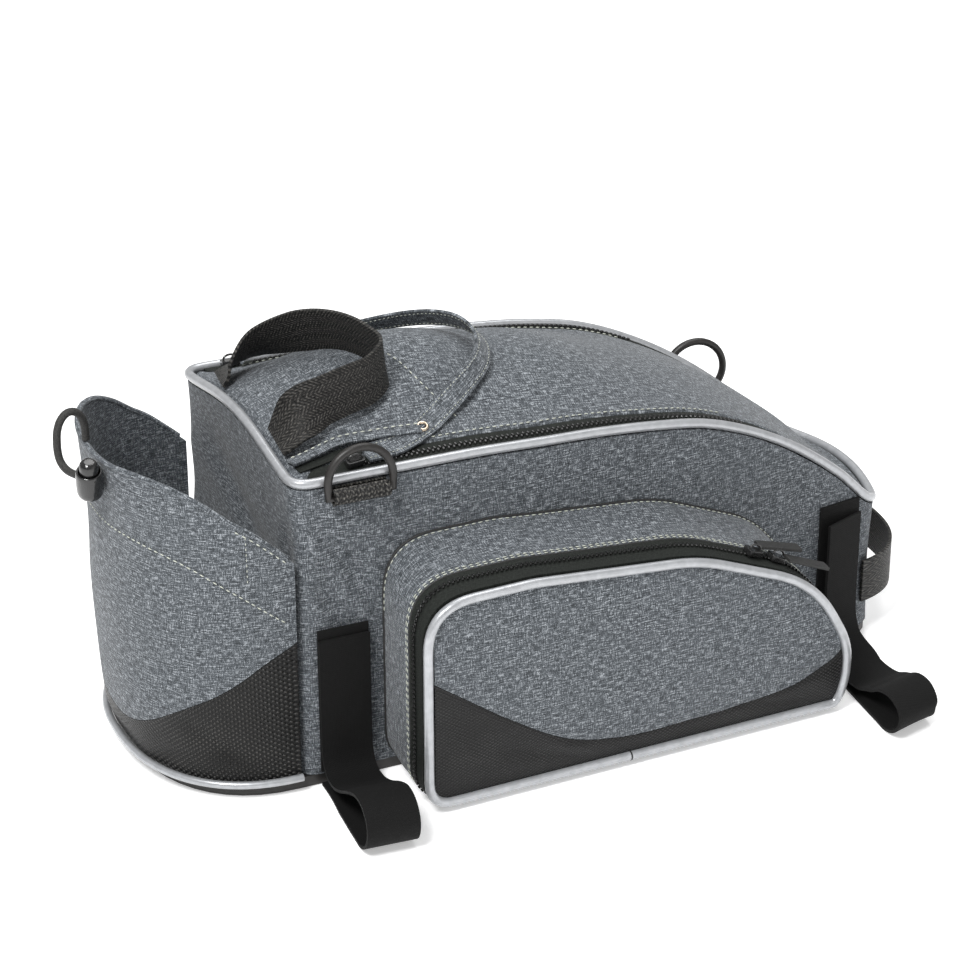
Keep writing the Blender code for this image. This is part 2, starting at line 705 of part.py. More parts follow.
def bottle_rings(low, high, rows, grow=0.0):
    """Rings of the bottle pocket's wall between two height rules."""
    rings = []
    plan = bottle_outline(BOTTLE_TIP / 2)
    for share in np.linspace(0.0, 1.0, rows):
        ring = []
        for i, (x, _) in enumerate(plan):
            z = low(x) + share * (high(x) - low(x))
            px, py = bottle_outline(z, grow)[i]
            ring.append((px, py, z))
        rings.append(ring)
    return rings


def build_bottle_sleeve():
    skins = [bottle_rings(lambda x: foot_seam(x) + GAP, mouth_height, 5, grow)
             for grow in (0.0, -BOTTLE_WALL)]
    return shell("bottle_pocket_sleeve", *skins, fabric(), closed_ring=False)


def build_bottle_foot():
    """Black mesh foot, which stands on the base panel."""
    skins = [bottle_rings(lambda x: BASE_HEIGHT + GAP, foot_seam, 4, grow)
             for grow in (0.0, -BOTTLE_WALL)]
    return shell("bottle_pocket_foot", *skins, material("black_mesh", DARK, 0.8), closed_ring=False)


def build_foot_piping():
    out = FOOT_PIPING / 2 + GAP
    z = BASE_HEIGHT + GAP + FOOT_PIPING / 2
    points = [(x, y, z) for x, y in bottle_outline(z, out) if x < 0.001]
    return tube("bottle_pocket_piping", points, FOOT_PIPING, silver())


def lock_place():
    """Frame of the cord lock: on the pocket's outside near its tip, Z towards the button."""
    height = 0.1535
    y = -0.018
    half = REAR_WIDTH / 2
    depth = bottle_depth(height)
    x = -depth * (1 - (abs(y) / half) ** BOTTLE_ROUNDNESS) ** (1 / BOTTLE_ROUNDNESS)
    middle = Vector((x - LOCK_DIAMETER / 2 - GAP, y, height))
    up = Vector((-0.10, -0.34, 0.93)).normalized()
    return Matrix.Translation(middle) @ up.to_track_quat("Z", "Y").to_matrix().to_4x4()


def build_lock():
    """Barrel with a blind bore, and the sprung button that slides in it."""
    plastic = material("black_nylon", PLASTIC, 0.3)
    r = LOCK_DIAMETER / 2
    bore = LOCK_BORE / 2
    barrel = turned_solid("cord_lock_barrel", (
        (0.0, 0.0), (r * 0.55, 0.0), (r * 0.86, 0.0012), (r, 0.004), (r, LOCK_LENGTH - 0.0025),
        (r * 0.93, LOCK_LENGTH), (bore, LOCK_LENGTH), (bore, LOCK_FLOOR), (0.0, LOCK_FLOOR)), plastic, 14)
    barrel.matrix_world = lock_place()
    pin = bore - BUTTON_CLEARANCE
    low = LOCK_FLOOR + BUTTON_STROKE + 2 * GAP
    top = LOCK_LENGTH + BUTTON_PROUD
    button = turned_solid("cord_lock_button", (
        (0.0, low), (pin, low), (pin, top - 0.0035), (pin * 0.86, top - 0.0012), (pin * 0.5, top),
        (0.0, top)), plastic, 14)
    button.matrix_world = lock_place()


def build_cord():
    points = through(CORD_ROUTE, 15)
    tube("elastic_cord", points, CORD, material("elastic_cord_braid", DARK, 0.8))


def straight(a, b, step):
    """Points between a and b, no further apart than step."""
    count = int(math.dist(a, b) / step) + 1
    return [tuple(np.array(a) + (np.array(b) - np.array(a)) * k / count) for k in range(1, count)]


def fillet(corners, step):
    """A closed outline with rounded corners from (name, x, z, radius) rows."""
    rows = [(np.array(row[1:3], float), row[3]) for row in corners]
    outline = []
    for k, (here, radius) in enumerate(rows):
        before = rows[k - 1][0] - here
        after = rows[(k + 1) % len(rows)][0] - here
        before_length = np.linalg.norm(before)
        after_length = np.linalg.norm(after)
        before /= before_length
        after /= after_length
        half = math.acos(np.clip(np.dot(before, after), -1, 1)) / 2
        reach = min(radius / math.tan(half), 0.49 * before_length, 0.49 * after_length)
        turn = corner(here + before * reach, here, here + after * reach, max(int(reach / step), 4))
        if outline:
            outline += straight(outline[-1], turn[0], 4 * step)
        outline += turn
    return outline + straight(outline[-1], outline[0], 4 * step)


def pocket_outline():
    """The front outline of a side pocket, in x and z."""
    rows = [(name, POCKET_START + along * POCKET_LENGTH, POCKET_LOW + up * POCKET_HEIGHT,
             radius * POCKET_HEIGHT) for name, along, up, radius in POCKET_CORNERS]
    line = np.array(fillet(rows, 0.006))
    line[:, 0] = np.clip(line[:, 0], POCKET_START, POCKET_START + POCKET_LENGTH)
    line[:, 1] = np.maximum(line[:, 1], POCKET_LOW)
    return line


def pocket_face(x):
    """Distance from the middle plane to the pocket's front face."""
    share = (x - POCKET_START) / POCKET_LENGTH
    return REAR_WIDTH / 2 + POCKET_DEPTH - POCKET_TOE * share


def pocket_point(x, z, out, sign):
    """A point of the pocket, out of the way from the body's wall (0) to its face (1)."""
    wall = half_width(x) + GAP
    y = wall + out * (pocket_face(x) - wall)
    flare = POCKET_FLARE + (1.0 - POCKET_FLARE) * out
    low = POCKET_LOW + (BASE_HEIGHT + GAP - POCKET_LOW) * max(1 - 3 * out, 0.0)
    return (x, sign * y, low + (z - POCKET_LOW) * flare)


def build_pocket_ring(name, start, end, rows, finish, sign):
    """Part of the pocket's side wall, from start to end on the way out."""
    skins = []
    for inset in (0.0, POCKET_WALL):
        line = inset_outline(pocket_outline(), inset)
        skins.append([[pocket_point(x, z, out, sign) for x, z in line]
                      for out in np.linspace(start, end, rows)])
    return shell(name, *skins, finish, closed_ring=True)


def pocket_seam(x):
    share = (x - POCKET_START) / POCKET_LENGTH
    ups = hermite([row[0] for row in POCKET_SEAM], [row[1] for row in POCKET_SEAM], share)
    return POCKET_LOW + ups * POCKET_HEIGHT


def crossings(line, x):
    """The z values at which a closed outline crosses x."""
    hits = []
    for (x0, z0), (x1, z1) in zip(line, np.roll(line, -1, axis=0)):
        if (x0 - x) * (x1 - x) <= 0 and x0 != x1:
            hits.append(z0 + (z1 - z0) * (x - x0) / (x1 - x0))
    return hits


def panel_limits(x):
    """Lowest and highest z of the front panel at x, inside the piping."""
    line = inset_outline(pocket_outline(), PIPING - PIPING_LAP + 2 * GAP)
    hits = crossings(line, x)
    return min(hits), max(hits)


def build_pocket_panels(side, sign):
    """Grey and black front panels of a side pocket, slightly domed."""
    edge = PIPING - PIPING_LAP + 4 * GAP
    shares = (1 - np.cos(np.linspace(0, math.pi, 19))) / 2
    columns = POCKET_START + edge + shares * (POCKET_LENGTH - 2 * edge)
    middle = POCKET_START + POCKET_LENGTH / 2
    ripstop = material("black_ripstop", DARK, 0.75)
    for name, part, finish in (("upper", 1, fabric()), ("lower", 0, ripstop)):
        grid = []
        for x in columns:
            low, high = panel_limits(x)
            seam = min(max(pocket_seam(x), low + 0.0006), high - 0.0006)
            bottom, top = ((low, seam - GAP / 2), (seam + GAP / 2, high))[part]
            row = []
            for share in np.linspace(0.0, 1.0, 5):
                z = bottom + share * (top - bottom)
                across = 2 * (z - low) / max(high - low, 1e-6) - 1
                along = (x - middle) / (POCKET_LENGTH / 2)
                dome = POCKET_DOME * max(1 - across**2, 0.0) * max(1 - along**4, 0.0)
                row.append((x, sign * (pocket_face(x) - PIPING / 2 + PANEL_THICKNESS + dome), z))
            grid.append(row)
        slab("side_pocket_panel_" + name + "_" + side, grid, (0.0, -sign * PANEL_THICKNESS, 0.0), finish)


def outline_top(x):
    """The upper z of the pocket's outline at x."""
    return max(crossings(pocket_outline(), x))


def pocket_slider_frame(x, sign):
    """Frame on the zip of a side pocket at x: X forward along the zip, Z out of it."""
    point = Vector(pocket_point(x, outline_top(x), ZIP_MIDDLE, sign))
    forward = Vector(pocket_point(x + 0.006, outline_top(x + 0.006), ZIP_MIDDLE, sign))
    forward -= Vector(pocket_point(x - 0.006, outline_top(x - 0.006), ZIP_MIDDLE, sign))
    forward.normalize()
    across = Vector(pocket_point(x, outline_top(x), ZIP_MIDDLE + 0.05, sign)) - point
    normal = forward.cross(across).normalized()
    if normal.z < 0:
        normal = -normal
    frame = Matrix((forward, normal.cross(forward), normal)).transposed().to_4x4()
    return Matrix.Translation(point + normal * (SLIDER_HEIGHT / 2 + 2 * GAP)) @ frame


def build_pocket(side, sign):
    """One side pocket: gusset, zip ring, piping, panels, sliders and ribbon pulls."""
    depth = POCKET_DEPTH
    gap = GAP / depth
    build_pocket_ring("side_pocket_gusset_" + side, 0.0, GUSSET_END - gap, 3, fabric(), sign)
    tape = material("zip_tape", TAPE_COLOUR, 0.9)
    build_pocket_ring("side_pocket_zip_" + side, GUSSET_END, ZIP_END, 2, tape, sign)
    line = inset_outline(pocket_outline(), PIPING / 2 - PIPING_LAP)
    points = [(x, sign * pocket_face(x), max(z, PIPING / 2 + GAP)) for x, z in line]
    tube("side_pocket_piping_" + side, points, PIPING, silver(), cyclic=True)
    build_pocket_panels(side, sign)
    for which, along, aside in SLIDER_PLACES:
        frame = pocket_slider_frame(POCKET_START + along * POCKET_LENGTH, sign)
        build_slider("side_pocket_slider_" + which + "_" + side, frame)
        beside = (PULL_WIDTH / 2 + GAP) * aside
        start = frame @ Vector((SLIDER_LENGTH * 0.30, beside, SLIDER_HEIGHT / 2 + PULL_THICKNESS / 2 + GAP))
        lead = frame.to_3x3() @ Vector((1.0, 0.0, 0.10))
        lead.normalize()
        swing = frame.to_3x3() @ Vector((0.0, 1.0, 0.0))
        end = start + lead * PULL_LENGTH
        centres = [start.lerp(end, t) for t in np.linspace(0, 1, 6)]
        strip("side_pocket_pull_" + which + "_" + side, centres, [swing] * 6, PULL_WIDTH,
              PULL_THICKNESS, webbing())


def seam_height(x):
    return FRONT_HEIGHT + (REAR_HEIGHT - FRONT_HEIGHT) * section("height", x)


def wall_frame(x, z, sign):
    """Frame on the body's wall: X along the top seam's slope, Y outwards, Z up the wall."""
    turn = half_width(x + 0.01) - half_width(x - 0.01)
    seam = Vector((0.02, sign * turn, seam_height(x + 0.01) - seam_height(x - 0.01))) * sign
    out = Vector((-turn, sign * 0.02, 0.0))
    seam.normalize()
    out.normalize()
    frame = Matrix((seam, out, seam.cross(out))).transposed().to_4x4()
    return Matrix.Translation((x, sign * half_width(x), z)) @ frame


def build_ring_and_tab(side, x, sign):
    """A D-ring whose straight bar turns in the fold of a webbing tab."""
    bar_out = RING_WIRE / 2 + RING_CLEARANCE + TAB_WEB + GAP
    below = RING_DROP
    frame = wall_frame(x, seam_height(x), sign)
    hinge = frame @ Matrix.Translation((0.0, bar_out, -below))
    half = RING_WIDTH / 2 - RING_WIRE / 2
    top = RING_HEIGHT - RING_WIRE / 2
    straight = top - half
    arch = [(half * math.cos(a), 0.0, straight + half * math.sin(a)) for a in np.linspace(0, math.pi, 15)]
    bar = [(-half, 0.0, 0.0), (-half * 0.5, 0.0, 0.0), (half * 0.5, 0.0, 0.0), (half, 0.0, 0.0)]
    ring = tube("d_ring_" + side, arch + bar, RING_WIRE, material("black_acetal", PLASTIC, 0.4), cyclic=True)
    ring.matrix_world = hinge
    inner = RING_WIRE / 2 + RING_CLEARANCE
    outer = inner + TAB_WEB
    round_part = [(outer * math.cos(a), outer * math.sin(a)) for a in np.linspace(math.pi, math.tau, 9)]
    hole = [(inner * math.cos(a), inner * math.sin(a)) for a in np.linspace(math.tau, math.pi, 9)]
    top_z = below - PIPING / 2 - 3 * GAP
    neck = [(inner, top_z * 0.55), (-inner * 0.2, top_z * 0.75), (-inner, top_z * 0.55)]
    outline = [(-outer, top_z), *round_part, (outer, top_z * 0.55), (-inner * 0.2 + TAB_WEB, top_z)]
    bm = bmesh.new()
    finish = webbing()
    faces = []
    left = [bm.verts.new((-TAB_WIDTH / 2, y, z)) for y, z in outline]
    right = [bm.verts.new((TAB_WIDTH / 2, y, z)) for y, z in outline]
    inner_ring = list(reversed(hole)) + neck
    left_hole = [bm.verts.new((-TAB_WIDTH / 2, y, z)) for y, z in inner_ring]
    right_hole = [bm.verts.new((TAB_WIDTH / 2, y, z)) for y, z in inner_ring]
    for a, b in ((left, right), (left_hole, right_hole)):
        for i in range(len(a)):
            j = (i + 1) % len(a)
            faces.append(bm.faces.new((a[i], a[j], b[j], b[i])))
    for loop, inside in ((left, left_hole), (right, right_hole)):
        edges = [e for e in bm.edges if e.verts[0] in loop + inside and e.verts[1] in loop + inside]
        bmesh.ops.triangle_fill(bm, edges=edges, use_beauty=True)
    tab = add_object("d_ring_tab_" + side, bm, finish)
    tab.matrix_world = hinge


def strap_line(path, reach, top):
    """Side view of a strap in metres."""
    return [(STRAP_OFF_WALL + out * reach, STRAP_OFF_GROUND + up * top) for out, up in path]


def build_strap(side, sign, which, x, heading, turned, twist, line):
    """A patch on the wall and a hook-and-loop strap that ends in a loop on the ground."""
    wall_turn = math.atan2(half_width(x + 0.012) - half_width(x - 0.012), 0.024)
    level = Vector((math.cos(wall_turn), sign * math.sin(wall_turn), 0.0))
    out = Vector((-level.y, level.x, 0.0)) * sign
    root = Vector((x, sign * half_width(x), 0.0))
    stand_off = STRAP_WIDTH / 2 * math.sin(twist)
    centres = []
    widths = []
    for reach, up in through(line, 31):
        on_ground = min(reach / 0.03, 1.0)
        turn = -twist * (1 - on_ground) - turned * on_ground
        drift = math.tan(heading) * reach * on_ground
        off_wall = stand_off if up > 0.006 or on_ground < 1 else 0.0
        centres.append(root + out * (reach + off_wall) + level * drift + Vector((0, 0, up)))
        widths.append(Matrix.Rotation(turn * sign, 3, "Z") @ level)
    strip("strap_" + which + "_" + side, centres, widths, STRAP_WIDTH, STRAP_THICKNESS,
          material("hook_and_loop", DARK, 0.95))
    middle = root + out * (PATCH_THICKNESS / 2 + GAP)
    ends = [middle + Vector((0, 0, PATCH_LOW)), middle + Vector((0, 0, PATCH_LOW + PATCH_HEIGHT))]
    centres = [ends[0].lerp(ends[1], t) for t in np.linspace(0, 1, 3)]
    strip("strap_patch_" + which + "_" + side, centres, [level] * 3, STRAP_WIDTH,
          PATCH_THICKNESS, material("hook_and_loop", DARK, 0.95))


def build_front_band():
    """Webbing bowed across the front wall, sewn in at both front corners."""
    middle = FRONT_BAND_LOW + FRONT_BAND_WIDTH / 2
    ring = inset_outline(body_plan(), -(FRONT_BAND_THICKNESS / 2 + GAP))
    front = sorted((y, x) for x, y in ring if x > BODY_LENGTH - 0.7 * FRONT_CORNER)
    ys = [y for y, _ in front]
    edge = ys[-1]
    stations = np.unique(np.round(np.concatenate([ys, np.linspace(-edge, edge, 17)]), 4))
    centres = []
    for y in stations:
        bow = FRONT_BAND_BOW * max(1 - (y / edge) ** 4, 0.0) ** 0.8
        centres.append((np.interp(y, ys, [x for _, x in front]) + bow, y, middle))
    return strip("front_band", centres, [(0, 0, 1)] * len(centres), FRONT_BAND_WIDTH,
                 FRONT_BAND_THICKNESS, webbing())


def stand_on_origin():
    """Moves the bag so that the middle of its box, without the cord, is over the origin."""
    bpy.context.view_layer.update()
    graph = bpy.context.evaluated_depsgraph_get()
    corners = []
    for obj in COLLECTION.objects:
        if obj.type == "EMPTY" or obj.name in CORD_NODES:
            continue
        evaluated = obj.evaluated_get(graph)
        mesh = evaluated.to_mesh()
        points = np.empty(len(mesh.vertices) * 3, np.float32)
        mesh.vertices.foreach_get("co", points)
        world = np.array(evaluated.matrix_world)
        placed = points.reshape(-1, 3) @ world[:3, :3].T + world[:3, 3]
        corners += [placed.min(axis=0), placed.max(axis=0)]
        evaluated.to_mesh_clear()
    low = np.min(corners, axis=0)
    high = np.max(corners, axis=0)
    frame = bpy.data.objects.new("trunk_bag", None)
    COLLECTION.objects.link(frame)
    frame.location = (-(low[0] + high[0]) / 2, -(low[1] + high[1]) / 2, -low[2])
    for obj in COLLECTION.objects:
        if obj is not frame:
            obj.parent = frame
    print("box", low.round(5), high.round(5), "frame", tuple(round(v, 6) for v in frame.location))


clear_scene()
COLLECTION = bpy.data.collections.new("bicycle_trunk_bag")
bpy.context.scene.collection.children.link(COLLECTION)
build_base()
build_body()
build_lid()
tube("lid_piping", piping_line(), PIPING, silver(), cyclic=True)
build_handle()
build_band()
build_rivet("opening_band_rivet", 0.15)
build_bottle_sleeve()
build_bottle_foot()
build_foot_piping()
build_lock()
build_cord()
for side, sign in SIDES:
    build_lid_zip(side, sign)
    along = NEAR_SLIDER if sign < 0 else FAR_SLIDER
    build_slider("lid_slider_" + side, lid_slider_place(along * BODY_LENGTH, sign))
    build_pocket(side, sign)
    rear_line = strap_line(REAR_STRAP_PATH, REAR_STRAP_REACH, REAR_STRAP_TOP)
    build_strap(side, sign, "rear", REAR_STRAP_X, REAR_STRAP_HEADING, REAR_STRAP_TURN, 0.0, rear_line)
    front_line = strap_line(FRONT_STRAP_PATH, FRONT_STRAP_REACH, FRONT_STRAP_TOP)
    build_strap(side, sign, "front", BODY_LENGTH - FRONT_STRAP_BACK, FRONT_STRAP_HEADING,
                FRONT_STRAP_TURN, FRONT_STRAP_TWIST, front_line)
build_ring_and_tab("near", NEAR_RING_X, -1.0)
build_ring_and_tab("far", BODY_LENGTH - FAR_RING_BACK, 1.0)
build_front_band()
stand_on_origin()
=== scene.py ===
"""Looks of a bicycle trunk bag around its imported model, written as a lesson in cells."""

# %% [markdown]
# The imported model holds the true place of every part, so the lesson starts by loading it.
# Hard parts keep their imported solid and get a finish. Cloth parts are plain solids there, and
# each one is rebuilt here as sewn fabric in exactly the same place.

# %% Load the frame
import math

import bmesh
import bpy
import numpy as np
from mathutils import Matrix, Vector, noise


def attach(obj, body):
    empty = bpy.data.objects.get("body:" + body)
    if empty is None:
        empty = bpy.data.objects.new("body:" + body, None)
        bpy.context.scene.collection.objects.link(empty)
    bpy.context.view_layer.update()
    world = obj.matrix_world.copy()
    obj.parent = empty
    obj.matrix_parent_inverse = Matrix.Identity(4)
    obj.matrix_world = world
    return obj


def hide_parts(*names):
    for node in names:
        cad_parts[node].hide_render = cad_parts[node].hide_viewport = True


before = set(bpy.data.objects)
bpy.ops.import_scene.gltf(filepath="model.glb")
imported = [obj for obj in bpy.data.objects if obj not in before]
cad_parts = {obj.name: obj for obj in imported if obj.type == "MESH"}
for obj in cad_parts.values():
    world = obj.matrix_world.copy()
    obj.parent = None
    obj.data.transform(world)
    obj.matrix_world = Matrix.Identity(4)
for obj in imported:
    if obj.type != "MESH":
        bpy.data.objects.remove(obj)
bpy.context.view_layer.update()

# %% [markdown]
# The photograph is a product shot in a light tent: a long lens from the left and above, white
# ground that runs out to white, and a faint soft shadow. A 100 mm lens on a 36 mm sensor gives
# that flat perspective. The lamps are large, so the shadows stay soft, and the key comes from
# the upper left, which lets the piping carry a long bright line.

# %% Camera, floor and light
AZIMUTH = math.radians(-25.0)
ELEVATION = math.radians(25.5)
CAMERA_PLACE = (-0.5616, -1.1818, 0.7256)


def looking_back(azimuth, elevation):
    """Direction from the object to a viewer."""
    level = math.cos(elevation)
    return Vector((math.sin(azimuth) * level, -math.cos(azimuth) * level, math.sin(elevation)))


camera = bpy.data.objects.new("camera", bpy.data.cameras.new("camera"))
camera.data.lens = 100.0
camera.data.sensor_width = 36.0
camera.location = CAMERA_PLACE
camera.rotation_mode = "QUATERNION"
camera.rotation_quaternion = (-looking_back(AZIMUTH, ELEVATION)).to_track_quat("-Z", "Y")
bpy.context.scene.collection.objects.link(camera)
bpy.context.scene.camera = camera
bpy.context.scene.view_settings.view_transform = "Standard"


def lamp(name, place, target, size, power):
    """A square soft box that faces its target."""
    light = bpy.data.lights.new(name, "AREA")
    light.shape = "SQUARE"
    light.size = size
    light.energy = power
    obj = bpy.data.objects.new(name, light)
    obj.location = place
    obj.rotation_mode = "QUATERNION"
    obj.rotation_quaternion = (Vector(target) - Vector(place)).to_track_quat("-Z", "Y")
    bpy.context.scene.collection.objects.link(obj)
    return obj


lamp("key", (-0.9, -0.7, 1.5), (0.0, 0.0, 0.1), 0.5, 27.0)
lamp("top", (0.3, 0.4, 1.7), (0.0, 0.0, 0.1), 1.1, 15.0)
lamp("front_fill", (0.7, -1.6, 0.6), (0.0, 0.0, 0.1), 1.0, 3.0)

# %% [markdown]
# Every finish is built from nodes. These helpers keep that short: one turns a screen colour
# into a linear one, and one adds a node with its settings and its links.
# The patterns are scaled from real thread sizes, in metres, over the piece's own cloth
# coordinates, which each piece carries as a UV map measured in metres.

# %% Node helpers


def colour(text):
    """A screen colour such as 5f656d as linear RGBA."""
    parts = [int(text[i:i + 2], 16) / 255 for i in (0, 2, 4)]
    linear = [p / 12.92 if p <= 0.04045 else ((p + 0.055) / 1.055) ** 2.4 for p in parts]
    return (*linear, 1.0)


def add(tree, kind, inputs=None, **settings):
    """A node with settings. An input takes a value or another node's socket."""
    made = tree.nodes.new("ShaderNode" + kind)
    for key, value in settings.items():
        setattr(made, key, value)
    for key, value in (inputs or {}).items():
        if isinstance(value, bpy.types.NodeSocket):
            tree.links.new(value, made.inputs[key])
        else:
            made.inputs[key].default_value = value
    return made


def maths(tree, operation, a, b=0.0):
    return add(tree, "Math", {0: a, 1: b}, operation=operation).outputs[0]


def blended(tree, share, a, b):
    """Colour a where share is 0 and b where it is 1."""
    mixed = add(tree, "Mix", {0: share, 6: a, 7: b}, data_type="RGBA")
    return mixed.outputs[2]


def stepped(tree, value, low, high):
    """value spread so that low becomes 0 and high 1."""
    ranged = add(tree, "MapRange", {"Value": value, "From Min": low, "From Max": high})
    return ranged.outputs[0]


def finish_named(name, roughness, **constants):
    """A Principled material and its shader, with constants on the shader's own sockets."""
    made = bpy.data.materials.new(name)
    made.use_nodes = True
    shader = made.node_tree.nodes["Principled BSDF"]
    shader.inputs["Roughness"].default_value = roughness
    for key, value in constants.items():
        shader.inputs[key.replace("_", " ")].default_value = value
    return made, made.node_tree, shader


def cloth_place(tree, stretch_u, stretch_v):
    """The piece's cloth coordinates in metres, scaled to counts per metre."""
    source = add(tree, "UVMap", uv_map="cloth").outputs[0]
    scaled = add(tree, "VectorMath", {0: source, 1: (stretch_u, stretch_v, 1.0)}, operation="MULTIPLY")
    return scaled.outputs[0]


def clouds(tree, place, detail=2.0, scale=1.0):
    return add(tree, "TexNoise", {"Vector": place, "Scale": scale, "Detail": detail}).outputs[0]


def bumped(tree, shader, height, distance, strength=1.0):
    """Raises the surface by height times distance, in metres."""
    raised = add(tree, "Bump", {"Height": height, "Distance": distance, "Strength": strength})
    tree.links.new(raised.outputs[0], shader.inputs["Normal"])


# %% [markdown]
# The floor is a sheet of white paper. It is only a little brighter than the background, and a
# trace of grain keeps it from looking like empty space. Its roughness is high, so no mirror
# image of the bag shows. A faint glow stands for the lamp that a studio puts behind the paper,
# and keeps the ground white far behind the bag.

# %% Paper floor
paper, tree, shader = finish_named("white_paper_ground", 0.9)
grain = clouds(tree, add(tree, "TexCoord").outputs["Object"], scale=9.0)
tree.links.new(blended(tree, grain, colour("f4f4f4"), colour("fbfbfb")), shader.inputs["Base Color"])
shader.inputs["Emission Color"].default_value = colour("ffffff")
shader.inputs["Emission Strength"].default_value = 0.35
bm = bmesh.new()
bmesh.ops.create_grid(bm, x_segments=4, y_segments=4, size=12.0)
bmesh.ops.translate(bm, verts=bm.verts, vec=(0.0, 0.0, -0.0004))
ground_mesh = bpy.data.meshes.new("ground")
bm.to_mesh(ground_mesh)
bm.free()
ground_mesh.materials.append(paper)
ground = bpy.data.objects.new("ground", ground_mesh)
bpy.context.scene.collection.objects.link(ground)

world = bpy.data.worlds.new("light_tent")
world.use_nodes = True
world.node_tree.nodes["Background"].inputs[0].default_value = (1.0, 1.0, 1.0, 1.0)
world.node_tree.nodes["Background"].inputs[1].default_value = 0.45
bpy.context.scene.world = world

# %% [markdown]
# The bag's main cloth is a mélange: plain-woven polyester whose yarns are spun from dark and
# pale fibres, so threads run as short light and dark dashes both ways. Close up it is a blue
# grey with pale flecks. Two stretched noises draw the dashes of warp and weft, a fine one adds
# the fibre, and a broad one the slight unevenness of a large piece. The weave itself is bump,
# and a little sheen gives the dusty light edge of spun yarn.

# %% Fabric finishes
YARN = 0.00062
SLUB = 0.00064


def melange(name, dark, mid, pale):
    made, tree, shader = finish_named(name, 0.88, Sheen_Weight=0.12, Sheen_Roughness=0.4)
    per_yarn = 1.0 / YARN
    weft = clouds(tree, cloth_place(tree, 1 / SLUB / 8, 1 / SLUB), 2.0)
    warp = clouds(tree, cloth_place(tree, 1 / SLUB, 1 / SLUB / 5), 2.0)
    fibre = clouds(tree, cloth_place(tree, 1 / SLUB, 1 / SLUB), 2.0)
    broad = clouds(tree, cloth_place(tree, 26.0, 26.0), 2.0)
    dashes = maths(tree, "ADD", maths(tree, "MULTIPLY", weft, 0.55), maths(tree, "MULTIPLY", warp, 0.45))
    flecks = maths(tree, "ADD", maths(tree, "MULTIPLY", dashes, 0.72), maths(tree, "MULTIPLY", fibre, 0.28))
    low = blended(tree, stepped(tree, flecks, 0.38, 0.50), dark, mid)
    both = blended(tree, stepped(tree, flecks, 0.505, 0.62), low, pale)
    shade = blended(tree, stepped(tree, broad, 0.25, 0.8), both, mid)
    soft = add(tree, "Mix", {0: 0.28, 6: both, 7: shade}, data_type="RGBA").outputs[2]
    tree.links.new(soft, shader.inputs["Base Color"])
    u = add(tree, "SeparateXYZ", {0: cloth_place(tree, math.pi * per_yarn, math.pi * per_yarn)})
    weave = maths(tree, "MULTIPLY", maths(tree, "SINE", u.outputs[0]), maths(tree, "SINE", u.outputs[1]))
    height = maths(tree, "ADD", maths(tree, "MULTIPLY", weave, 0.5), flecks)
    bumped(tree, shader, height, 0.00022, 0.8)
    return made


# Spun mélange polyester: grey with a blue cast, flecked, nearly without gloss.
GREY_CLOTH = melange("spun_melange_polyester", colour("171b1e"), colour("4c5156"), colour("a9aeb3"))


def herringbone(name, rib, width, dark, glint, roughness, depth):
    """Webbing whose ribs turn back and forth across its width."""
    made, tree, shader = finish_named(name, roughness, Specular_IOR_Level=0.3)
    place = add(tree, "SeparateXYZ", {0: cloth_place(tree, 1.0, 1.0)})
    zigzag = maths(tree, "PINGPONG", place.outputs[1], width / 2)
    phase = maths(tree, "MULTIPLY", maths(tree, "ADD", place.outputs[0], zigzag), math.tau / rib)
    ribs = maths(tree, "MULTIPLY", maths(tree, "ADD", maths(tree, "SINE", phase), 1.0), 0.5)
    picks = maths(tree, "SINE", maths(tree, "MULTIPLY", place.outputs[1], math.tau / (rib * 0.62)))
    thread = maths(tree, "MULTIPLY", ribs, maths(tree, "ADD", maths(tree, "MULTIPLY", picks, 0.35), 0.65))
    # The raised thread is blended toward the glint colour as a painted highlight, and a noise breaks that painted
    # highlight into patches.
    glint_patches = clouds(tree, cloth_place(tree, 700.0, 700.0), 2.0)
    lit = maths(tree, "MULTIPLY", thread, stepped(tree, glint_patches, 0.35, 0.75))
    tree.links.new(blended(tree, lit, dark, glint), shader.inputs["Base Color"])
    bumped(tree, shader, thread, depth)
    return made


# Black polyester webbing: flat black threads in a herringbone, each with a faint silky painted highlight.
WEBBING = herringbone("black_polyester_webbing", 0.0021, 0.0074, colour("0e0e0d"), colour("6f6c67"), 0.55, 0.0004)
# Tab webbing is woven from thicker cord, so its painted highlights stand apart like beads.
TAB_WEBBING = herringbone("coarse_black_webbing", 0.0026, 0.0026, colour("0b0b0b"), colour("8c8983"), 0.45, 0.0006)
# Hook-and-loop tape: dull black with a short nap and no visible thread; its painted highlight is barely lighter than
# the black.
NAP = herringbone("hook_and_loop_tape", 0.0012, 0.0012, colour("070707"), colour("131312"), 0.9, 0.00012)
# Zip tape: fine green-black twill, whose lighter ribs are a painted highlight.
TAPE_CLOTH = herringbone("zip_tape_twill", 0.0009, 0.0018, colour("151815"), colour("353a35"), 0.8, 0.00016)


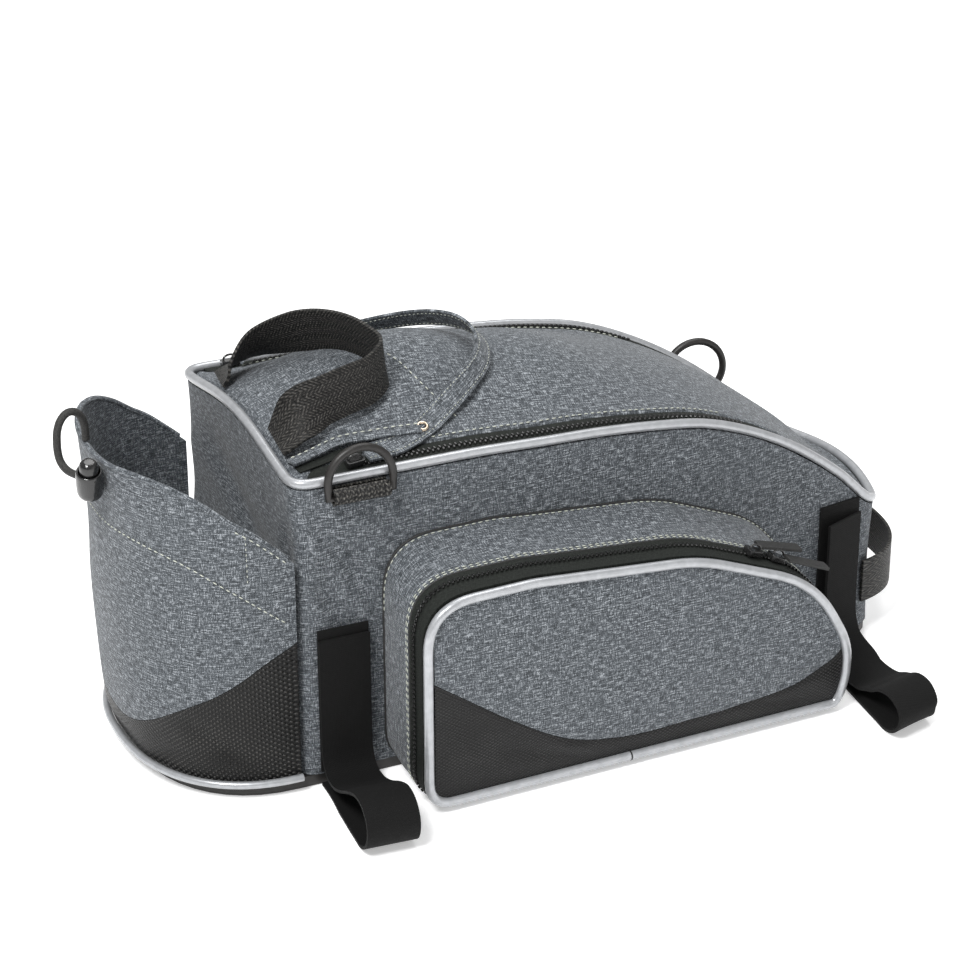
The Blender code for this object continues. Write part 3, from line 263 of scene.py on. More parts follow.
def dotted(name, pitch, dark, glint, roughness, depth, crease=0.0):
    """Coarse nylon whose thick yarns show as rows of small dots of painted highlight."""
    made, tree, shader = finish_named(name, roughness, Specular_IOR_Level=0.3)
    at = add(tree, "SeparateXYZ", {0: cloth_place(tree, 1 / pitch, 1.5 / pitch)})
    along = maths(tree, "ADD", at.outputs[0], at.outputs[1])
    aside = maths(tree, "SUBTRACT", at.outputs[0], at.outputs[1])
    staggered = add(tree, "CombineXYZ", {0: along, 1: aside}).outputs[0]
    cells = add(tree, "TexVoronoi", {"Vector": staggered, "Scale": 1.0, "Randomness": 0.12})
    dots = stepped(tree, cells.outputs["Distance"], 0.42, 0.12)
    # The broad noise patches the dots' painted highlight into a painted sheen; times crease, it also gives real
    # creases in the bump.
    broad = clouds(tree, cloth_place(tree, 30.0, 55.0), 3.0)
    lit = maths(tree, "MULTIPLY", dots, stepped(tree, broad, 0.2, 0.9))
    tree.links.new(blended(tree, lit, dark, glint), shader.inputs["Base Color"])
    height = maths(tree, "ADD", dots, maths(tree, "MULTIPLY", broad, crease))
    bumped(tree, shader, height, depth)
    return made


# Ballistic nylon of the bottle pocket's foot: black, with its dots as painted highlights, and faintly shiny.
MESH_CLOTH = dotted("dotted_black_nylon", 0.0040, colour("050505"), colour("585653"), 0.45, 0.0008)
# Coated black nylon of the pocket fronts: a finer weave with soft sheen, partly real gloss and partly painted sheen
# in patches.
RIPSTOP = dotted("coated_black_nylon", 0.0029, colour("060606"), colour("3f3e3d"), 0.42, 0.0004, 1.5)
# Stiff base cloth: a plain dull black, with barely lighter dots of painted highlight.
BASE_CLOTH = dotted("coated_base_cloth", 0.0016, colour("0c0c0c"), colour("1c1c1b"), 0.6, 0.0002)

# %% [markdown]
# The trims are smoother. Reflective piping is a glass-bead film over a cord: silver, with a
# broad soft highlight. Sewing thread is pale grey-green. The zip's coil, sliders and rings are
# nylon, painted zinc and acetal. Each is one Principled shader with a trace of grain, read from
# the object's own coordinates, so that no large plain area stays perfectly even.

# %% Trim finishes


def trim(name, base, other, roughness, scale, depth=0.0, **constants):
    made, tree, shader = finish_named(name, roughness, **constants)
    place = add(tree, "TexCoord").outputs["Object"]
    grain = clouds(tree, place, 3.0, scale)
    tree.links.new(blended(tree, stepped(tree, grain, 0.3, 0.7), base, other), shader.inputs["Base Color"])
    if depth:
        bumped(tree, shader, grain, depth)
    return made


# Reflective silver film: satin, brighter than cloth at every angle.
SILVER = trim("reflective_silver_film", colour("a3a5a8"), colour("b4b6b9"), 0.32, 260.0, 0.00006,
              Metallic=0.45, Coat_Weight=0.25, Coat_Roughness=0.25)
# Spun sewing thread: pale grey with a green cast.
THREAD = trim("sewing_thread", colour("b0b3a8"), colour("c6c9bd"), 0.7, 900.0)
# Black thread; the same finish also draws a thin line of painted shadow along each side pocket's root.
DARK_THREAD_AND_SHADOW = trim("black_thread_and_painted_shadow", colour("1a1a1a"), colour("2c2c2b"), 0.6, 900.0)
# Nylon zip coil: glossy black with small hard glints.
COIL = trim("nylon_zip_coil", colour("0f0f0f"), colour("1c1c1b"), 0.26, 700.0)
# Moulded acetal: matte black with a soft highlight.
ACETAL = trim("moulded_acetal", colour("1a1817"), colour("252321"), 0.45, 320.0, 0.00005)
# Painted zinc: black enamel over metal, with sharp glints.
ZINC = trim("black_enamelled_zinc", colour("171717"), colour("232323"), 0.22, 400.0, Coat_Weight=0.4)
# Nickel rivet: warm bright metal.
NICKEL = trim("nickel_plate", colour("b8a690"), colour("cfc2b2"), 0.22, 500.0, Metallic=1.0)
# Glossy nylon of the cord lock.
GLOSSY = trim("glossy_black_nylon", colour("141414"), colour("1c1c1c"), 0.18, 200.0, Coat_Weight=0.3)
# Braided cover of the elastic cord.
BRAID = trim("braided_cord_cover", colour("141414"), colour("3a3937"), 0.75, 1500.0, 0.0003)

# %% [markdown]
# The shape rules are the pattern pieces of the bag, the same sizes and tables that the packed
# model was drawn from. x is measured from the rear wall, y from the middle plane and z from the
# ground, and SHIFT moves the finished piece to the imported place.
# Reading the rules again, more finely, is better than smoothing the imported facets, because
# seams, stitches and zips can then follow exact lines.

# %% Named sizes and tables
SHIFT = Vector((-0.151816, 0.0, 0.0))
BODY_LENGTH = 0.346
REAR_WIDTH = 0.160
FRONT_WIDTH = 0.118
REAR_HEIGHT = 0.168
FRONT_HEIGHT = 0.082
FRONT_BOW = 0.014
LID_CROWN = 0.032
CORNER = 0.012
BASE_HEIGHT = 0.006
GAP = 0.0003
PIPING = 0.005
PIPING_INSET = 0.001
ZIP_WIDTH = 0.010
TAPE_DROP = 0.0004
ZIP_REAR = 0.004
ZIP_RAMP_REAR = 0.014
ZIP_FRONT = 0.012
ZIP_RAMP_FRONT = 0.060
BESIDE_PIPING = PIPING_INSET + PIPING / 2 + 2 * GAP
BOTTLE_DEPTH = 0.074
BOTTLE_ROUNDNESS = 2.3
BOTTLE_WALL = 0.0022
BOTTLE_LOW = 0.127
BOTTLE_TIP = 0.172
BOTTLE_LAP = 0.0028
FOOT_LOW = 0.026
FOOT_HIGH = 0.084
FOOT_PIPING = 0.004
POCKET_START = 0.046
POCKET_LENGTH = 0.245
POCKET_HEIGHT = 0.115
POCKET_LOW = 0.0032
POCKET_DEPTH = 0.050
POCKET_TOE = 0.004
POCKET_FLARE = 1.075
POCKET_WALL = 0.0022
POCKET_DOME = 0.005
PANEL_THICKNESS = 0.0025
PIPING_LAP = 0.0006
GUSSET_END = 0.62
ZIP_END = 0.93
ZIP_MIDDLE = 0.74
SECTION_COLUMNS = ("along", "height", "width", "crown")
SECTIONS = (
    (0.00, 1.000, 1.000, 0.28),
    (0.10, 1.000, 1.000, 0.72),
    (0.20, 1.000, 1.000, 0.98),
    (0.29, 0.998, 1.000, 0.98),
    (0.38, 0.985, 1.000, 0.80),
    (0.48, 0.965, 0.940, 0.68),
    (0.57, 0.930, 0.880, 0.44),
    (0.66, 0.865, 0.760, 0.25),
    (0.75, 0.725, 0.585, 0.17),
    (0.84, 0.520, 0.400, 0.15),
    (0.92, 0.280, 0.210, 0.15),
    (1.00, 0.000, 0.000, 0.10),
    (1.06, -0.030, -0.120, 0.06),
)
POCKET_CORNERS = (
    (0.000, 0.000, 0.14),
    (0.000, 0.995, 0.24),
    (0.240, 1.003, 0.60),
    (0.620, 0.930, 0.90),
    (0.905, 0.685, 0.70),
    (1.012, 0.280, 0.50),
    (0.980, -0.035, 0.16),
)
POCKET_SEAM = ((0.00, 0.64), (0.08, 0.52), (0.18, 0.37), (0.33, 0.185), (0.44, 0.132), (0.62, 0.130),
               (0.78, 0.15), (0.88, 0.19), (0.95, 0.255), (1.00, 0.32))
BOTTLE_FLARE = ((0.00, 0.885), (0.03, 0.900), (0.09, 0.945), (0.16, 0.963), (0.35, 0.987), (0.51, 1.000),
                (0.76, 0.995), (0.96, 1.025), (1.00, 1.030))
MOUTH = ((0.00, 0.00), (0.14, 0.21), (0.30, 0.44), (0.42, 0.58), (0.56, 0.77), (0.75, 0.95),
         (0.91, 1.00), (1.00, 0.96))
FOOT_SEAM = ((0.00, 1.00), (0.24, 0.83), (0.40, 0.68), (0.57, 0.53), (0.70, 0.42), (0.81, 0.30), (0.93, 0.12),
             (1.00, 0.00))

# %% Shape rules


def hermite(xs, ys, x):
    """A smooth curve through the points (xs, ys), read at x."""
    x = min(max(x, xs[0]), xs[-1])
    i = min(int(np.searchsorted(xs, x, side="right")) - 1, len(xs) - 2)
    slopes = np.gradient(ys, xs)
    step = xs[i + 1] - xs[i]
    t = (x - xs[i]) / step
    a = (1 + 2 * t) * (1 - t) ** 2 * ys[i] + t * (1 - t) ** 2 * step * slopes[i]
    b = t * t * (3 - 2 * t) * ys[i + 1] + t * t * (t - 1) * step * slopes[i + 1]
    return float(a + b)


def dense(rows, column, scale=1.0, count=400):
    """A table's column as a fine curve, ready for np.interp."""
    xs = np.array([row[0] * scale for row in rows])
    ys = np.array([row[column] for row in rows])
    fine = np.linspace(xs[0], xs[-1], count)
    return fine, np.array([hermite(xs, ys, x) for x in fine])


SECTION_CURVES = {name: dense(SECTIONS, k, BODY_LENGTH) for k, name in enumerate(SECTION_COLUMNS)}
SEAM_CURVE = dense(POCKET_SEAM, 1)
FLARE_CURVE = dense(BOTTLE_FLARE, 1, BOTTLE_TIP)
MOUTH_CURVE = dense(MOUTH, 1)
FOOT_CURVE = dense(FOOT_SEAM, 1)


def section(column, x):
    return np.interp(x, *SECTION_CURVES[column])


def half_width(x):
    return (FRONT_WIDTH + (REAR_WIDTH - FRONT_WIDTH) * section("width", x)) / 2


def seam_height(x):
    return FRONT_HEIGHT + (REAR_HEIGHT - FRONT_HEIGHT) * section("height", x)


def top_height(x, y):
    across = np.minimum(np.abs(y) / half_width(x), 1.0)
    return seam_height(x) + LID_CROWN * section("crown", x) * (1 - across**2) ** 2


def front_edge(y):
    return BODY_LENGTH + FRONT_BOW * (1 - (2 * y / FRONT_WIDTH) ** 2)


def corner(a, c, b, steps):
    a, c, b = (np.asarray(p, float) for p in (a, c, b))
    return [tuple((1 - t) ** 2 * a + 2 * t * (1 - t) * c + t**2 * b) for t in np.linspace(0, 1, steps)]


def body_plan(fine=4):
    """The body's outline from above, from the middle of the rear wall over the near side."""
    points = [(0.0, y) for y in np.linspace(0.0, -REAR_WIDTH / 2 + CORNER, 4 * fine + 1)]
    points += corner(points[-1], (0.0, -REAR_WIDTH / 2), (CORNER, -REAR_WIDTH / 2), 4 * fine + 1)[1:]
    points += [(x, -half_width(x)) for x in np.linspace(CORNER, BODY_LENGTH - CORNER, 16 * fine + 1)[1:]]
    edge = -FRONT_WIDTH / 2 + CORNER
    points += corner(points[-1], (BODY_LENGTH + 0.001, -FRONT_WIDTH / 2), (front_edge(edge), edge), 3 * fine)[1:]
    points += [(front_edge(y), y) for y in np.linspace(edge, 0.0, 3 * fine + 1)[1:]]
    return np.array(points + [(x, -y) for x, y in reversed(points) if abs(y) > 1e-6])


def outline_normals(ring):
    """Inward normals of a closed outline, longer at a bend so that walls keep their width."""
    before = ring - np.roll(ring, 1, axis=0)
    after = np.roll(ring, -1, axis=0) - ring
    before = before / np.linalg.norm(before, axis=1)[:, None]
    after = after / np.linalg.norm(after, axis=1)[:, None]
    normal = np.stack([-(before + after)[:, 1], (before + after)[:, 0]], axis=1)
    normal = normal / np.linalg.norm(normal, axis=1)[:, None]
    mitre = 1 / np.maximum(np.abs(normal[:, 0] * -after[:, 1] + normal[:, 1] * after[:, 0]), 0.5)
    area = np.sum(ring[:, 0] * np.roll(ring[:, 1], -1) - np.roll(ring[:, 0], -1) * ring[:, 1])
    return normal * (mitre * np.sign(area))[:, None]


def inset(ring, distance):
    return ring + outline_normals(ring) * np.reshape(distance, (-1, 1))


def lid_margin(x):
    """How far the lid's edge lies inside the plan: beside the piping, or beside the zip."""
    opening = np.minimum((x - ZIP_REAR) / ZIP_RAMP_REAR, (BODY_LENGTH - ZIP_FRONT - x) / ZIP_RAMP_FRONT)
    ramp = np.clip(opening, 0.0, 1.0)
    return BESIDE_PIPING + ZIP_WIDTH * ramp * ramp * (3 - 2 * ramp)


def resample(points, count, measured=3):
    """count points along an open line, evenly spaced in the first measured columns."""
    points = np.asarray(points, float)
    steps = np.linalg.norm(np.diff(points[:, :measured], axis=0), axis=1)
    length = np.concatenate([[0.0], np.cumsum(steps)])
    wanted = np.linspace(0.0, length[-1], count)
    return np.stack([np.interp(wanted, length, points[:, k]) for k in range(points.shape[1])], axis=1)


def line_length(points):
    return float(np.sum(np.linalg.norm(np.diff(np.asarray(points, float), axis=0), axis=1)))


def through(rows, count):
    """count points of a smooth curve through the rows, evenly spaced in their first three columns."""
    rows = [np.asarray(p, float) for p in rows]
    padded = [2 * rows[0] - rows[1], *rows, 2 * rows[-1] - rows[-2]]
    fine = []
    for p0, p1, p2, p3 in zip(padded, padded[1:], padded[2:], padded[3:]):
        for t in np.linspace(0.0, 1.0, 24, endpoint=False):
            fine.append(0.5 * (2 * p1 + (p2 - p0) * t + (2 * p0 - 5 * p1 + 4 * p2 - p3) * t**2
                               + (3 * p1 - p0 - 3 * p2 + p3) * t**3))
    fine = np.array([*fine, rows[-1]])
    steps = np.linalg.norm(np.diff(fine[:, :3], axis=0), axis=1)
    length = np.concatenate([[0.0], np.cumsum(steps)])
    wanted = np.linspace(0.0, length[-1], count)
    return np.stack([np.interp(wanted, length, fine[:, k]) for k in range(fine.shape[1])], axis=1)


print("plan points:", len(body_plan()), "crown at the rear third:", round(float(top_height(0.1, 0.0)), 4))

# %% [markdown]
# Cloth pieces start as a flat grid, as the real ones start as flat cut cloth. A rule then puts
# each grid point in its place, and the cloth coordinates are kept in metres, so every weave has
# its true thread size. place() also rounds, folds and puffs the piece.
# The helpers below make the piece, give it a thickness, and make it ride on the bag.

# %% Piece helpers


def settle(name, bm, finish, replaces=(), body="bag", smooth=True, angle=40.0):
    """Moves a finished mesh to its packed place and makes it ride on a body."""
    bmesh.ops.translate(bm, verts=bm.verts, vec=SHIFT)
    mesh = bpy.data.meshes.new(name)
    bm.to_mesh(mesh)
    bm.free()
    if smooth:
        mesh.shade_smooth()
        mesh.set_sharp_from_angle(angle=math.radians(angle))
    mesh.materials.append(finish)
    obj = bpy.data.objects.new(name, mesh)
    bpy.context.scene.collection.objects.link(obj)
    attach(obj, body)
    if replaces:
        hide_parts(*replaces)
    print(name, len(mesh.polygons), "faces")
    return obj


def bent_grid(columns, rows, place, cloth, wall=0.0, closed=False, heart=(0.17, 0.0, 0.05)):
    """A grid whose points go to place(u, v), with cloth(points, u, v) as cloth coordinates.

    u and v are arrays from 0 to 1. Faces look away from heart, and wall is laid behind them."""
    bm = bmesh.new()
    bmesh.ops.create_grid(bm, x_segments=columns, y_segments=rows, size=0.5)
    layer = bm.loops.layers.uv.new("cloth")
    flat = np.array([v.co[:] for v in bm.verts])
    u, v = np.clip(flat[:, 0] + 0.5, 0.0, 1.0), np.clip(flat[:, 1] + 0.5, 0.0, 1.0)
    points = place(u, v)
    across = cloth(points, u, v)
    for face in bm.faces:
        for loop in face.loops:
            loop[layer].uv = across[loop.vert.index]
    for vert, point in zip(bm.verts, points):
        vert.co = point
    if closed:
        bmesh.ops.remove_doubles(bm, verts=bm.verts, dist=1e-6)
    bm.normal_update()
    if sum(f.normal.dot(f.calc_center_median() - Vector(heart)) > 0 for f in bm.faces) < len(bm.faces) / 2:
        bmesh.ops.reverse_faces(bm, faces=bm.faces)
        bm.normal_update()
    if wall:
        bmesh.ops.solidify(bm, geom=bm.faces, thickness=wall)
        bmesh.ops.recalc_face_normals(bm, faces=bm.faces)
    return bm


def ruffle(points, size, depth, seed):
    """Smooth random heights over points, from -depth to depth."""
    shift = Vector((seed * 7.3, seed * 3.1, seed * 1.7))
    return np.array([noise.noise(Vector(p) / size + shift) for p in points]) * depth


def folds(points, table):
    """Depth of listed folds. A row is two ends, a width and a depth, in metres."""
    total = np.zeros(len(points))
    for a, b, width, depth in table:
        a, b = np.array(a), np.array(b)
        along = b - a
        t = np.clip((points - a) @ along / (along @ along), 0.0, 1.0)
        away = np.linalg.norm(points - a - t[:, None] * along, axis=1)
        total += depth * np.exp(-((away / width) ** 2)) * np.sin(np.pi * (0.08 + 0.84 * t))
    return total


def tube(name, points, diameter, finish, replaces=(), cyclic=False, body="bag"):
    """A round cord, piping or wire as a bevelled curve that rides on a body."""
    curve = bpy.data.curves.new(name, "CURVE")
    curve.dimensions = "3D"
    curve.bevel_depth = diameter / 2
    curve.bevel_resolution = 4
    curve.use_fill_caps = not cyclic
    spline = curve.splines.new("POLY")
    spline.points.add(len(points) - 1)
    for point, co in zip(spline.points, points):
        point.co = (*(Vector(co) + SHIFT), 1.0)
    spline.use_cyclic_u = cyclic
    spline.use_smooth = True
    curve.materials.append(finish)
    obj = bpy.data.objects.new(name, curve)
    bpy.context.scene.collection.objects.link(obj)
    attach(obj, body)
    if replaces:
        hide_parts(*replaces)
    return obj


def ribbon(centres, widths, width, thickness, across=6, arch=0.0):
    """A woven band along centres. widths are vectors across it, and arch lifts its middle."""
    centres = np.asarray(centres, float)
    ahead = np.gradient(centres, axis=0)
    ahead /= np.linalg.norm(ahead, axis=1)[:, None]
    side = np.asarray(widths, float)
    side = side - ahead * np.sum(side * ahead, axis=1)[:, None]
    side /= np.linalg.norm(side, axis=1)[:, None]
    up = np.cross(ahead, side)
    count = len(centres)
    length = line_length(centres)
    facing = 1.0

    def place(u, v):
        i = np.round(u * (count - 1)).astype(int)
        lift = facing * thickness / 2 + arch * (1 - (2 * v - 1) ** 2)
        return centres[i] + side[i] * ((v - 0.5) * width)[:, None] + up[i] * lift[:, None]

    return bent_grid(count - 1, across, place, lambda p, u, v: np.stack([u * length, v * width], axis=1),
                     wall=thickness, heart=tuple(centres.mean(axis=0) - up.mean(axis=0)))


def oriented(place, ahead, out):
    """A frame at place whose X runs ahead and whose Z points out."""
    x = Vector(ahead).normalized()
    y = Vector(out).cross(x).normalized()
    turn = Matrix((x, y, x.cross(y))).transposed().to_4x4()
    return Matrix.Translation(place) @ turn


def beads(target, frames):
    """Adds one small ellipsoid per frame, in batches, so that it stays quick."""
    for start in range(0, len(frames), 50):
        few = bmesh.new()
        for place in frames[start:start + 50]:
            bmesh.ops.create_uvsphere(few, u_segments=6, v_segments=4, radius=1.0, matrix=place)
        batch = bpy.data.meshes.new("batch")
        few.to_mesh(batch)
        few.free()
        target.from_mesh(batch)
        bpy.data.meshes.remove(batch)


def stitches(bm, line, out, length=0.0026, pitch=0.0036, thick=0.00036, sunk=0.3):
    """A row of separate stitches along a line. out is the surface's outward vector at each point."""
    count = max(int(line_length(line) / pitch), 2)
    rows = resample(np.hstack([line, out]), count)
    frames = []
    for here, ahead in zip(rows, rows[1:]):
        middle = (here[:3] + ahead[:3]) / 2
        up = Vector(here[3:]).normalized()
        frame_here = oriented(Vector(middle) + up * thick * (1 - sunk), ahead[:3] - here[:3], up)
        frames.append(frame_here @ Matrix.Diagonal((length / 2, thick, thick * 0.8, 1.0)))
    beads(bm, frames)


def coil(bm, line, out, gauge=0.0021, pitch=0.0013):
    """Both rows of a closed nylon zip: small slanted loops that meet in the middle."""
    count = int(line_length(line) / pitch)
    rows = resample(np.hstack([line, out]), count)
    frames = []
    for k, (here, ahead) in enumerate(zip(rows, rows[1:])):
        up = Vector(here[3:]).normalized()
        place = oriented(Vector(here[:3]) + up * 0.0005, ahead[:3] - here[:3], up)
        aside = (1 if k % 2 else -1) * gauge * 0.36
        slant = Matrix.Rotation(0.35 if k % 2 else -0.35, 4, "Z")
        size = Matrix.Diagonal((pitch * 0.62, gauge * 0.55, 0.00062, 1.0))
        frames.append(place @ Matrix.Translation((0.0, aside, 0.0)) @ slant @ size)
    beads(bm, frames)


# %% [markdown]
# The elastic cord closes the mouth of the bottle pocket. It comes up out of the hem, turns over
# in a small loop and ends in its lock. The whole cord shows in the photograph, so its length is
# the length of that loop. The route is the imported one, drawn as one smooth curve.

# %% Elastic cord and its lock
CORD = 0.004
CORD_ROUTE = (
    (-0.0750, 0.0060, 0.1722),
    (-0.0752, 0.0058, 0.1790),
    (-0.0768, 0.0050, 0.1850),
    (-0.0804, 0.0036, 0.1890),
    (-0.0848, 0.0022, 0.1896),
    (-0.0886, 0.0008, 0.1868),
    (-0.0908, -0.0002, 0.1820),
    (-0.0915, -0.0008, 0.1765),
    (-0.0915, -0.0010, 0.1720),
    (-0.0911, -0.0021, 0.1678),
    (-0.0900, -0.0050, 0.1648),
    (-0.0885, -0.0089, 0.1636),
    (-0.0860, -0.0148, 0.1635),
)
cord_line = through(CORD_ROUTE, 48)
cord = tube("elastic_cord_braided", cord_line, CORD, BRAID, ["elastic_cord"])
for name in ("cord_lock_barrel", "cord_lock_button"):
    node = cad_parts[name]
    node.data.materials.clear()
    node.data.materials.append(GLOSSY)
    weld = node.modifiers.new("weld", "WELD")
    weld.merge_threshold = 1e-5
    round_off = node.modifiers.new("round", "BEVEL")
    round_off.width = 0.0005
    round_off.segments = 2
    round_off.limit_method = "ANGLE"
    round_off.angle_limit = math.radians(40)
    smooth = node.modifiers.new("smooth", "SUBSURF")
    smooth.levels = smooth.render_levels = 2
print("cord length:", round(line_length(cord_line) * 1000, 1), "mm")

# %% [markdown]
# The body wall is foam between two layers of cloth, sewn to the piping above and to the base
# below. It stands up by itself, but it isn't a board: the cloth is slightly loose between the
# seams, it is pulled into short creases below the near ring's tab, and it rolls over at the
# rear corner. The folds are placed where the photograph shows them.

# %% Body walls
WALL_FOLDS = (
    ((0.003, -0.080, 0.160), (0.019, -0.080, 0.136), 0.0045, -0.0042),
    ((0.019, -0.080, 0.136), (0.040, -0.080, 0.106), 0.0049, -0.0049),
    ((0.030, -0.080, 0.150), (0.052, -0.080, 0.122), 0.0037, 0.0027),
    ((0.012, -0.080, 0.118), (0.030, -0.080, 0.080), 0.0053, -0.0038),
    ((0.050, -0.080, 0.156), (0.077, -0.080, 0.140), 0.0045, -0.0027),
    ((0.075, -0.080, 0.150), (0.120, -0.080, 0.142), 0.0045, -0.0015),
    ((0.189, -0.078, 0.139), (0.225, -0.075, 0.150), 0.0045, -0.0019),
    ((0.225, -0.075, 0.148), (0.250, -0.073, 0.122), 0.0045, -0.0023),
    ((0.300, -0.068, 0.092), (0.270, -0.070, 0.126), 0.0045, -0.0027),
    ((0.322, -0.066, 0.060), (0.322, -0.066, 0.098), 0.0037, -0.0019),
    ((0.000, 0.050, 0.150), (0.000, -0.050, 0.100), 0.0120, -0.0042),
    ((0.000, -0.070, 0.150), (0.000, -0.060, 0.060), 0.0060, -0.0034),
)


def piping_ring():
    ring = inset(body_plan(), PIPING_INSET)
    return np.column_stack([ring, top_height(ring[:, 0], ring[:, 1]) - PIPING_INSET / 2])


def wall_place(u, v):
    plan = body_plan()
    line = piping_ring()
    ahead = np.roll(line, -1, axis=0) - np.roll(line, 1, axis=0)
    flat = np.hypot(ahead[:, 0], ahead[:, 1]) / np.linalg.norm(ahead, axis=1)
    rim = line[:, 2] - (PIPING / 2 + 2 * GAP) / flat
    ring = np.column_stack([plan, rim, -outline_normals(plan)])
    ring = resample(np.vstack([ring, ring[:1]]), WALL_COLUMNS + 1, 2)
    at = ring[np.round(u * WALL_COLUMNS).astype(int) % WALL_COLUMNS]
    low = BASE_HEIGHT + GAP
    z = low + v * (at[:, 2] - low)
    points = np.column_stack([at[:, :2], z])
    loose = np.sin(np.pi * np.clip(v, 0.0, 1.0)) ** 0.5
    depth = folds(points, WALL_FOLDS) - np.abs(ruffle(points, 0.045, 0.0018, 3)) + ruffle(points, 0.014, 0.0003, 5)
    out = at[:, 3:5] / np.linalg.norm(at[:, 3:5], axis=1)[:, None]
    points[:, :2] += out * (depth * loose)[:, None]
    return points


WALL_COLUMNS = 420
around = line_length(np.vstack([body_plan(), body_plan()[:1]]))
bm = bent_grid(WALL_COLUMNS, 60, wall_place, lambda p, u, v: np.stack([u * around, p[:, 2]], axis=1),
               wall=0.003, closed=True)
walls = settle("body_walls", bm, GREY_CLOTH, ["body_shell"])

# %% [markdown]
# The lid is one padded panel, crowned across and falling to the front like a saddle. A grid is
# stretched between its four edges: near, far, rear and front. The edge is turned under, so the
# last millimetres roll down. A line of stitches holds the turned edge beside each zip, and a
# slanting seam joins the rear corner piece, as the photograph shows.

# %% Lid
LID_FOLDS = (
    ((0.070, -0.045, 0.19), (0.125, -0.058, 0.18), 0.0080, -0.0012),
    ((0.030, -0.020, 0.20), (0.055, -0.052, 0.19), 0.0100, -0.0014),
    ((0.110, 0.010, 0.20), (0.180, 0.020, 0.19), 0.0150, -0.0010),
    ((0.010, -0.060, 0.17), (0.040, -0.064, 0.18), 0.0050, 0.0010),
)
ROLL = 0.0026


def split_ring(ring):
    """The four sides of a closed outline that starts at the middle of the rear, near side first."""
    half = len(ring) // 2
    spans = []
    rear = int(np.argmin(np.abs(ring[:half, 0] - 0.25 * CORNER - ring[:, 0].min()) + (ring[:half, 1] > -0.05)))
    front = half - int(np.argmax(ring[half:0:-1, 1] < ring[:half, 1].min() * 0.0 - 0.052 * 0.92))
    near = ring[rear:front + 1]
    far = near * (1, -1)
    rear_side = np.vstack([near[0], ring[rear:0:-1], ring[0], ring[1:rear + 1] * (1, -1)])[1:]
    front_side = np.vstack([ring[front:half], ring[front:half][::-1] * (1, -1)])
    spans.extend([near, far, rear_side, front_side])
    return spans


def lid_edge():
    plan = body_plan()
    return inset(plan, lid_margin(plan[:, 0]))


def lid_place(u, v):
    near, far, rear, front = (resample(side, 240) for side in split_ring(lid_edge()))
    u = (1 - np.cos(np.pi * u)) / 2
    v = (1 - np.cos(np.pi * v)) / 2

    def read(side, t):
        at = t * 239
        return np.column_stack([np.interp(at, np.arange(240), side[:, k]) for k in (0, 1)])

    a, b = (1 - u)[:, None], u[:, None]
    c, d = (1 - v)[:, None], v[:, None]
    xy = c * read(near, u) + d * read(far, u) + a * read(rear, v) + b * read(front, v)
    xy -= a * c * near[0] + b * c * near[-1] + a * d * far[0] + b * d * far[-1]
    points = np.column_stack([xy, top_height(xy[:, 0], xy[:, 1])])
    side_away = np.minimum(v, 1 - v) * 2 * half_width(xy[:, 0])
    end_away = np.minimum(u, 1 - u) * BODY_LENGTH
    away = np.minimum(side_away, end_away)
    roll = np.clip(1 - away / 0.0032, 0.0, 1.0)
    points[:, 2] -= ROLL * roll**2
    loose = np.clip(away / 0.02, 0.0, 1.0)
    points[:, 2] += loose * (folds(points, LID_FOLDS) + ruffle(points, 0.05, 0.0013, 11)
                             + ruffle(points, 0.018, 0.0002, 12))
    return points


bm = bent_grid(150, 90, lid_place, lambda p, u, v: p[:, :2], wall=0.0022)
lid = settle("lid_cover", bm, GREY_CLOTH, ["lid_panel"])
lid_line = tube("lid_piping_film", piping_ring(), PIPING, SILVER, ["lid_piping"], cyclic=True)

# %% [markdown]
# Each lid zip is a pair of twill tapes with a nylon coil between them. The tape lies beside the
# piping, a little lower than the lid's turned edge. The coil is many small loops, which catch
# the light one by one. It ends where the tapes run under the lid at the front.

# %% Lid zips
COIL_SHARE = 0.46


def lid_band(sign, share):
    """A line on the zip tape of one side, and the outward vector along it."""
    plan = body_plan()
    margins = lid_margin(plan[:, 0])
    ring = inset(plan, BESIDE_PIPING + share * (margins - GAP - BESIDE_PIPING))
    wide = (margins > BESIDE_PIPING + ZIP_WIDTH / 3) & (plan[:, 1] * sign > 0) & (plan[:, 0] > 0.0)
    line = ring[wide]
    if sign > 0:
        line = line[::-1]
    z = top_height(line[:, 0], line[:, 1])
    rise = (top_height(line[:, 0], line[:, 1] + 0.001) - top_height(line[:, 0], line[:, 1] - 0.001)) / 0.002
    slope = (top_height(line[:, 0] + 0.003, line[:, 1]) - top_height(line[:, 0] - 0.003, line[:, 1])) / 0.006
    out = np.column_stack([-slope, -rise, np.ones(len(line))])
    return np.column_stack([line, z]), out / np.linalg.norm(out, axis=1)[:, None]


coils = bmesh.new()
thread = bmesh.new()
for side, sign in (("near", -1.0), ("far", 1.0)):
    shares = (0.0, 0.2, 0.38, 0.46, 0.54, 0.72, 1.0)
    lines = [resample(lid_band(sign, share)[0], 161) for share in shares]
    length = line_length(lines[3])

    def tape_place(u, v):
        i = np.round(u * 160).astype(int)
        k = np.round(v * 6).astype(int)
        points = np.array(lines)[k, i]
        points[:, 2] -= TAPE_DROP
        return points

    bm = bent_grid(160, 6, tape_place, lambda p, u, v: np.stack([u * length, v * ZIP_WIDTH], axis=1), wall=0.0012)
    settle("lid_zip_tape_" + side, bm, TAPE_CLOTH, ["lid_zip_" + side])
    line, out = lid_band(sign, COIL_SHARE)
    coil(coils, line[6:-10], out[6:-10], 0.0024, 0.0014)
    line, out = lid_band(sign, 1.24)
    stitches(thread, line[4:-12] + (0.0, 0.0, 0.0003), out[4:-12])
